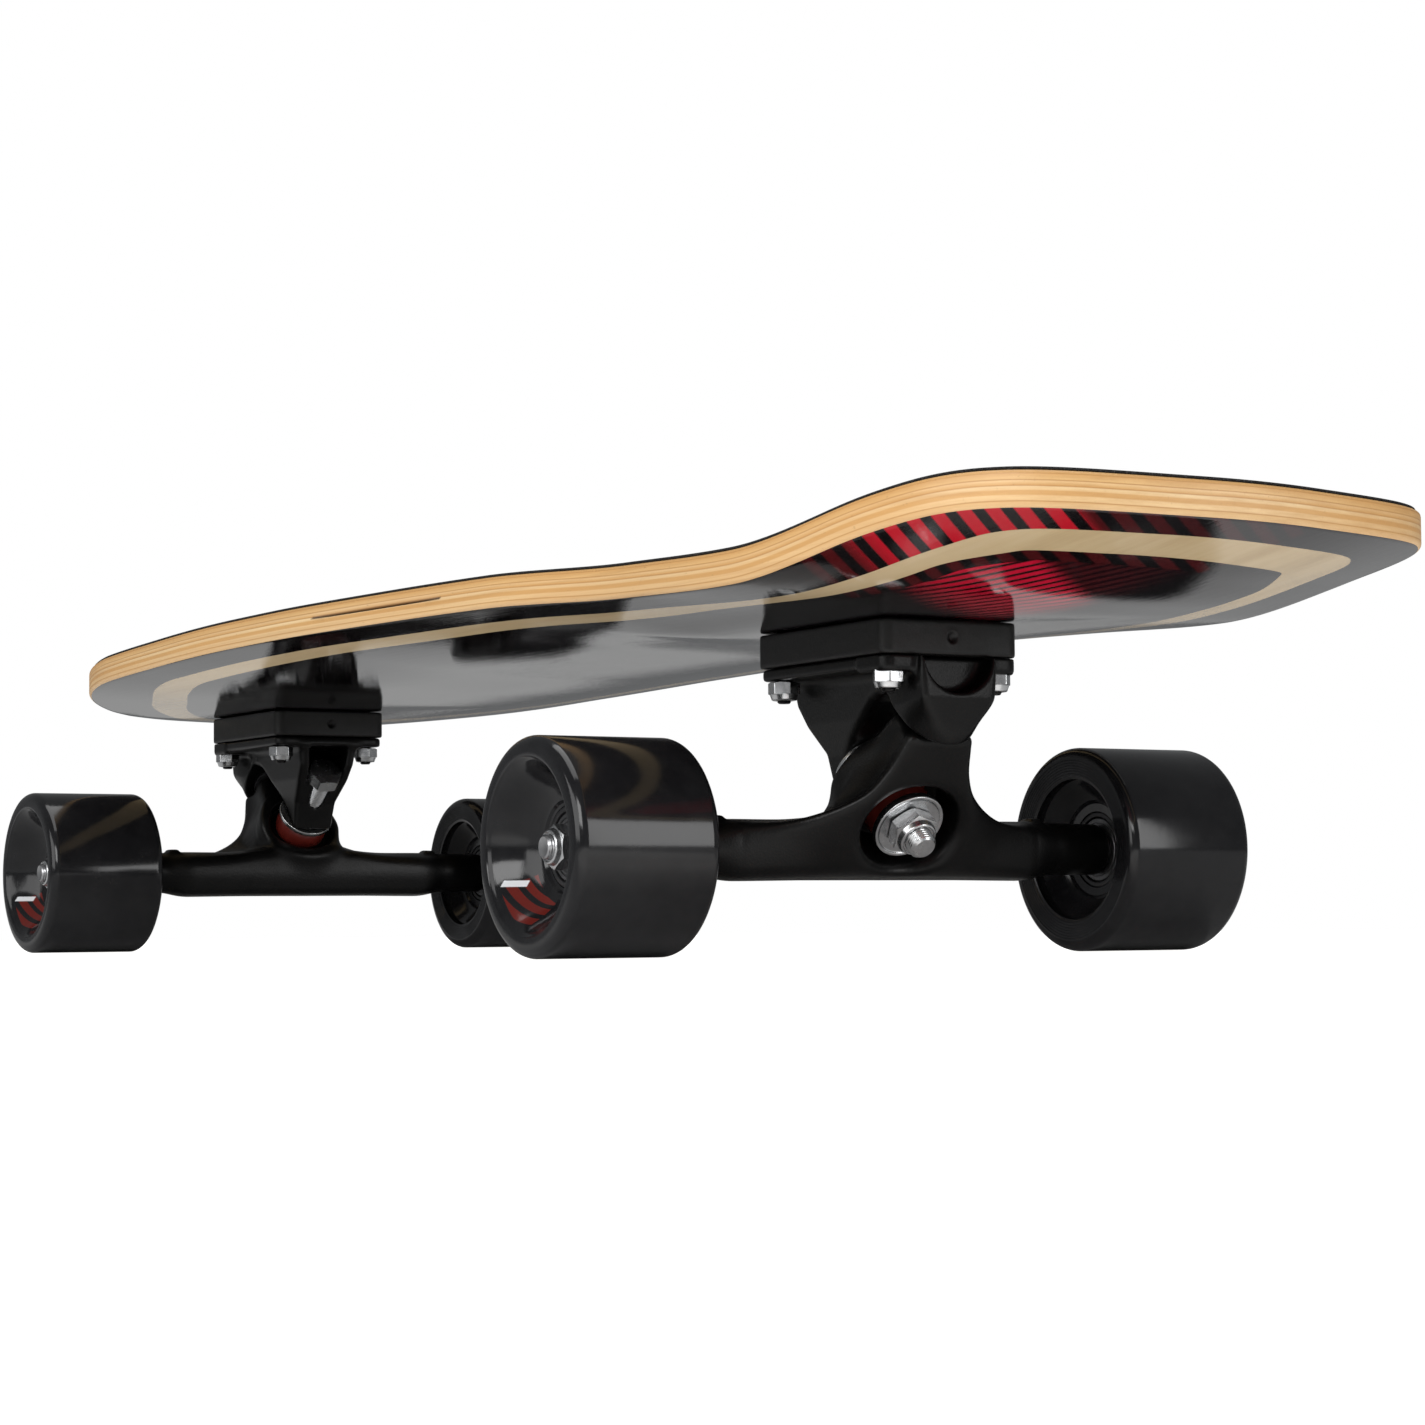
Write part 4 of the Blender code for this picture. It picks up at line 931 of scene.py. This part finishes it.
def bolt_mesh(x, y):
    """A countersunk deck bolt with a cross recess and a threaded tip."""
    top = deck_underside(x, y) + DECK_THICK + 0.12
    outline = [(0, top - 3.2), (BOLT_R, top - 3.2), (4.75, top - 0.35), (4.75, top), (0, top)]
    head = turned(eased(outline, 0.15), closed=False)
    slots = []
    for turn in (0, math.pi / 2):
        bm = bmesh.new()
        bmesh.ops.create_cube(bm, size=1.0)
        bmesh.ops.scale(bm, verts=bm.verts, vec=(5.0, 0.95, 3.2))
        bmesh.ops.translate(bm, verts=bm.verts, vec=(0, 0, top))
        slots.append(finished(bm, Matrix.Rotation(turn, 4, "Z")))
    head = carved(head, slots)
    return joined([head, threaded(BOLT_R, BOLT_TIP_Z, top - 3.0, 0.8, 0.28, chamfer=0.6)])


def kingpin_mesh():
    """A bolt with a round-cornered hexagon head, a plain shank and a threaded end."""
    rod = threaded(KINGPIN_R, KINGPIN_END, KINGPIN_HEAD[0] + 1, 1.06, 0.42, chamfer=1.1)
    head = nut_mesh(KINGPIN_HEAD_AF, KINGPIN_HEAD[0], KINGPIN_HEAD[1], 0.4, 6.4, KINGPIN_HEAD[0] - 0.6)
    return joined([rod, head], KING)


def axle_mesh():
    """The axle rod, threaded at both ends."""
    ends = [threaded(AXLE_R, -AXLE_HALF, -AXLE_HALF + 13, 1.0, 0.3, Matrix.Rotation(turn, 4, "X"), 0.7, 0.5)
            for turn in (0, math.pi)]
    core, reach = AXLE_R - 0.3, AXLE_HALF - 12.5
    rod = turned(eased([(core, reach), (core, -reach), (0.2, -reach), (0.2, reach)], 0.2))
    return joined(ends + [rod], frame_along((0, 1, 0), (0, 0, AXLE_Z)))


def tyre_mesh():
    """The wheel's urethane, outboard face up: round lips, a dished face and rings on the inboard lip."""
    lip, rings, hub_face = 3.6, 7, 10.7
    profile = arc((WHEEL_R - lip, WHEEL_HALF - lip), lip, 82, 0)
    profile += arc((WHEEL_R - lip, -WHEEL_HALF + lip), lip, 0, -78)
    groove = ((0, 0.02), (0.55, 0.04), (0.68, 0.34), (0.84, 0.34))
    for i in range(rings):
        r, base = 31.4 - i * 0.92, -WHEEL_HALF + 0.10 * i
        profile += [(r - inset, base + up) for inset, up in groove]
    profile += [(24.6, -WHEEL_HALF + 1.2)] + arc((19.5, -WHEEL_HALF + 3.0), 5.0, -20, 20, 3)
    profile += [(22.6, -19.5), (20.0, -16.6), (17.2, -15.2), (16.4, -15.4), (15.9, -14.6), (13.2, -14.3)]
    profile += [(13.2, -10.8), (17.3, -10.8), (17.3, 7.8), (13.2, 7.8)]
    dish = ((13.2, 0.0), (14.2, 0.2), (14.9, 1.1), (16.2, 1.3), (17.0, 1.9), (18.4, 2.5), (20.6, 4.4),
            (23.0, 7.3), (25.2, 10.6), (26.9, 13.2))
    lip_step = ((27.5, 1.0), (28.0, 0.72), (28.4, 0.15), (29.0, 0.0))
    profile += [(r, hub_face + up) for r, up in dish] + [(r, WHEEL_HALF - drop) for r, drop in lip_step]
    return turned(profile, steps=160, sharp=32)


def core_mesh():
    """The hard core that carries the bearings."""
    profile = [(12.9, 10.9), (12.9, 7.5), (17.0, 7.5), (17.0, -10.5), (12.9, -10.5), (12.9, -14.1)]
    profile += [(11.3, -14.1), (11.3, -6.4), (9.0, -6.4), (9.0, 3.1), (11.3, 3.1), (11.3, 10.9)]
    return turned(eased(profile, 0.35), steps=96)


def bearing_mesh():
    """Rings, a pressed shield with a stepped face on each side, and the groove round it."""
    half = BEARING_WIDTH / 2
    steps = ((BEARING_OUTER_R, 0.4), (BEARING_OUTER_R - 0.4, 0), (9.5, 0), (9.4, 0.35), (9.15, 0.35),
             (8.95, 0.1), (8.2, 0.12), (7.9, 0.42), (6.5, 0.46), (6.35, 0.65), (6.2, 0.65), (6.15, 0.02),
             (4.45, 0), (4.05, 0.4))
    face = [(r, half - drop) for r, drop in steps]
    return turned(face[:1] + [(r, -z) for r, z in face] + face[:0:-1])


# ---------------- pieces

def piece(name, mesh, looks, body, nodes=(), matrix=None):
    """Places a mesh, gives it its materials and lets it move with a CAD body in place of its nodes."""
    obj = bpy.data.objects.new(name, mesh)
    bpy.context.scene.collection.objects.link(obj)
    if matrix is not None:
        obj.matrix_world = matrix
    if not mesh.materials:
        for look in looks if isinstance(looks, list) else [looks]:
            mesh.materials.append(look)
    if body:
        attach(obj, body)
    if nodes:
        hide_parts(*nodes)
    return obj


def in_world(mesh, matrix):
    made = mesh.copy()
    made.transform(matrix)
    return made


def build_deck(looks):
    piece("deck_wood", deck_mesh(), [looks["ply"], looks["print"]], "deck", ("deck",))
    piece("deck_grip", grip_mesh(), looks["grip"], "deck", ("grip_tape",))


def build_bolts(looks):
    nut = nut_mesh(9.5, 86.9, 91.2, 2.5, 4.35, 85.0)
    for number, (x, y) in enumerate(bolt_places()):
        end, index = ("front" if number < 4 else "rear"), number % 4 + 1
        place = Matrix.Translation((x * MM, y * MM, 0)) @ Matrix.Rotation(NUT_TURN * number, 4, "Z")
        piece(f"{end}_bolt_{index}", bolt_mesh(x, y), looks["oxide"], "deck", (f"{end}_deck_bolt_{index}",),
              place)
        piece(f"{end}_nut_{index}", nut, looks["zinc"], "deck", (f"{end}_lock_nut_{index}",),
              place)


def truck_meshes():
    cell = 0.5
    turn_nut = KING @ Matrix.Rotation(0.3, 4, "Z")
    return {
        "riser": surface_of(riser_field, (-36, 0, 94), (52, 33, 109), cell),
        "baseplate": surface_of(baseplate_field, (-36, 0, 55), (52, 32, 97), cell),
        "hanger": surface_of(hanger_field, (-14, 0, 22), (50, 93, 88), cell),
        "kingpin": kingpin_mesh(),
        "kingpin_nut": nut_mesh(14.3, -5.6, -0.3, KINGPIN_R + 0.05, 6.4, -7.7, turn_nut),
        "roadside_washer": washer_mesh(12.35, STACK_BORE, 0.0, 2.0, KING, cup=0.7),
        "boardside_washer": washer_mesh(12.35, STACK_BORE, 29.0, 31.0, KING),
        "roadside_bushing": bushing_mesh(10.2, 11.6, STACK_BORE, *ROADSIDE_BUSHING, KING),
        "boardside_bushing": bushing_mesh(11.3, 10.6, STACK_BORE, *BOARDSIDE_BUSHING, KING),
        "axle": axle_mesh(),
    }


FIXED = {"riser": ("riser", "riser_black"), "baseplate": ("casting", "truck_black"),
         "kingpin": ("zinc", "zinc_steel"), "kingpin_nut": ("zinc", "zinc_steel"),
         "roadside_washer": ("zinc", "zinc_steel"), "boardside_washer": ("zinc", "zinc_steel")}


def wheel_meshes():
    return {"tyre": tyre_mesh(), "core": core_mesh(), "bearing": bearing_mesh(),
            "axle_nut": nut_mesh(12.7, AXLE_NUT[1], AXLE_NUT[2], 4.05, 5.6, AXLE_NUT[0]),
            "spacer": washer_mesh(6.2, 4.05, 115.45, 116.3, Matrix.Identity(4))}


def build_truck(end, looks, meshes, wheel):
    place, hanger = TRUCKS[end], f"{end}_hanger"
    for name, (look, slot) in FIXED.items():
        piece(f"{end}_{name}_piece", meshes[name], looks[look], "deck", (f"{end}_{name}",), place)
    piece(f"{end}_hanger_cast", meshes["hanger"], looks["casting"], hanger, (hanger,), place)
    piece(f"{end}_axle_rod", meshes["axle"], looks["steel"], hanger, (f"{end}_axle",), place)
    for name, ends in (("roadside_bushing", ROADSIDE_BUSHING),
                       ("boardside_bushing", BOARDSIDE_BUSHING[::-1])):
        made = piece(f"{end}_{name}_urethane", in_world(meshes[name], place), looks["bushing"], None)
        start, finish = (place @ ((KING @ Vector((0, 0, t))) * MM) for t in ends)
        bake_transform(made, "deck", hanger, start=tuple(start), end=tuple(finish))
        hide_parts(f"{end}_{name}")
    for side_name, side in (("left", 1), ("right", -1)):
        build_wheel(end, side_name, side, looks, wheel)


def build_wheel(end, side_name, side, looks, wheel):
    """A wheel, its bearings and spacers, turned so that its own +Z is outboard."""
    name, body = f"{end}_{side_name}", f"{end}_{side_name}_wheel"
    axle_x = (FRONT_AXLE_X if end == "front" else REAR_AXLE_X) * MM
    out = Matrix(((side * -1, 0, 0, 0), (0, 0, side, 0), (0, 1, 0, 0), (0, 0, 0, 1)))
    hub = Matrix.Translation((axle_x, side * WHEEL_CENTRE * MM, AXLE_Z * MM)) @ out
    middle = Matrix.Translation((axle_x, 0, AXLE_Z * MM)) @ out
    piece(f"{name}_urethane", wheel["tyre"], looks["urethane"], body, (f"{name}_tyre",), hub)
    piece(f"{name}_hub_core", wheel["core"], looks["core"], body, (f"{name}_core",), hub)
    for where, start in (("inboard", INBOARD_BEARING), ("outboard", OUTBOARD_BEARING)):
        shift = Matrix.Translation((0, 0, (start + BEARING_WIDTH / 2) * MM))
        piece(f"{name}_{where}_race", wheel["bearing"], looks["shield"], body, (f"{name}_{where}_bearing",),
              middle @ shift)
    flip = Matrix.Translation((0, 0, (AXLE_NUT[0] + AXLE_NUT[2]) * MM)) @ Matrix.Rotation(math.pi, 4, "X")
    piece(f"{name}_lock_nut", wheel["axle_nut"], looks["zinc"], f"{end}_hanger", (f"{name}_axle_nut",),
          middle @ flip)
    piece(f"{name}_speed_washer", wheel["spacer"], looks["zinc"], f"{end}_hanger", (), middle)


def dress_cad_nodes(looks):
    """The pieces kept as the CAD made them."""
    for end in ("front", "rear"):
        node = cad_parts[f"{end}_pivot_cup"]
        for slot in node.material_slots:
            slot.material = looks["cup"]


# ---------------- studio

def build_floor():
    """A pale floor that reads as paper white to the camera. For other rays it glows as painted light,
    lifting the board from below and showing as painted reflections in glossy parts.
    """
    bm = bmesh.new()
    bmesh.ops.create_circle(bm, cap_ends=True, segments=96, radius=FLOOR_RADIUS)
    mesh = bpy.data.meshes.new("floor")
    bm.to_mesh(mesh)
    bm.free()
    look = Look("floor_paper", (0.62, 0.62, 0.62), 0.9, Specular_IOR_Level=0.1)
    look.shader.inputs["Emission Color"].default_value = (1.0, 0.99, 0.97, 1.0)
    ray = look.node("ShaderNodeLightPath").outputs
    x, y, _ = look.place()
    # Painted reflection: two patches of floor, ahead of the nose and behind the tail, glow only for glossy
    # rays and put reflections into the glossy parts above them.
    ahead = look.times(look.between(x, 0.27, 1.2, 0.03), look.between(y, -0.5, 0.08, 0.04), 0.62)
    behind = look.times(look.between(x, -1.6, -0.7, 0.3), 0.14)
    painted_reflection = look.times(ray["Is Glossy Ray"], look.plus(ahead, behind))
    # Painted light: besides showing white to the camera, the floor glows for diffuse rays, standing in for
    # light bounced up under the board.
    glow = look.plus(ray["Is Camera Ray"], look.times(ray["Is Diffuse Ray"], FLOOR_BOUNCE), painted_reflection)
    look.links.new(glow, look.shader.inputs["Emission Strength"])
    mesh.materials.append(look.material)
    floor = bpy.data.objects.new("floor", mesh)
    floor.location.z = FLOOR_Z
    bpy.context.scene.collection.objects.link(floor)


def build_world():
    """White behind the object, and a dim room round it."""
    world = bpy.data.worlds.new("studio")
    bpy.context.scene.world = world
    world.use_nodes = True
    nodes, links = world.node_tree.nodes, world.node_tree.links
    room, paper = nodes["Background"], nodes.new("ShaderNodeBackground")
    mixed = nodes.new("ShaderNodeMixShader")
    for background, colour, strength in ((room, (0.96, 0.98, 1.0), ROOM_STRENGTH), (paper, (1, 1, 1), 1.0)):
        background.inputs["Color"].default_value = (*colour, 1.0)
        background.inputs["Strength"].default_value = strength
    seen = nodes.new("ShaderNodeLightPath").outputs["Is Camera Ray"]
    for i, socket in enumerate((seen, room.outputs[0], paper.outputs[0])):
        links.new(socket, mixed.inputs[i])
    links.new(mixed.outputs[0], nodes["World Output"].inputs["Surface"])


def softbox(name, place, target, size, radiance):
    """A rectangular light of this brightness, facing its target."""
    data = bpy.data.lights.new(name, "AREA")
    data.shape, data.size, data.size_y = "RECTANGLE", size[0], size[1]
    data.energy = radiance * math.pi * size[0] * size[1]
    light = bpy.data.objects.new(name, data)
    light.location = place
    light.rotation_euler = (Vector(target) - Vector(place)).to_track_quat("-Z", "Y").to_euler()
    bpy.context.scene.collection.objects.link(light)


def build_studio():
    build_floor()
    build_world()
    for name, settings in SOFTBOXES.items():
        softbox(name, *settings)
    bpy.context.scene.view_settings.view_transform = "Standard"


def build_camera():
    data = bpy.data.cameras.new("photo_view")
    data.lens, data.sensor_width, data.sensor_fit = CAMERA_LENS, SENSOR_WIDTH, "HORIZONTAL"
    data.clip_start = 0.01
    camera = bpy.data.objects.new("photo_view", data)
    camera.matrix_world = (Matrix.Translation(CAMERA_PLACE) @ Matrix.Rotation(CAMERA_YAW, 4, "Z")
                           @ Matrix.Rotation(math.pi / 2 + CAMERA_PITCH, 4, "X")
                           @ Matrix.Rotation(CAMERA_ROLL, 4, "Z"))
    bpy.context.scene.collection.objects.link(camera)
    bpy.context.scene.camera = camera


def all_looks():
    return {
        "ply": ply_look(), "print": print_look(), "grip": grip_look(), "casting": casting_look(),
        "riser": riser_look(), "zinc": zinc_look(), "oxide": oxide_look(),
        "steel": zinc_look("axle_steel_turned", (0.56, 0.56, 0.57), 0.22, 0.4),
        "bushing": plain_look("bushing_urethane", (0.11, 0.012, 0.008), 0.25, 0.42, Coat_Weight=0.3),
        "urethane": urethane_look(),
        "core": plain_look("core_nylon", (0.018, 0.018, 0.019), 0.3, 0.45),
        "shield": plain_look("bearing_shield", (0.16, 0.16, 0.165), 0.25, 0.42, 900, Metallic=0.9),
        "cup": plain_look("cup_urethane", (0.03, 0.03, 0.032), 0.35, 0.5),
    }


def main():
    build_camera()
    build_studio()
    looks = all_looks()
    build_deck(looks)
    build_bolts(looks)
    meshes, wheel = truck_meshes(), wheel_meshes()
    for end in TRUCKS:
        build_truck(end, looks, meshes, wheel)
    dress_cad_nodes(looks)


main()
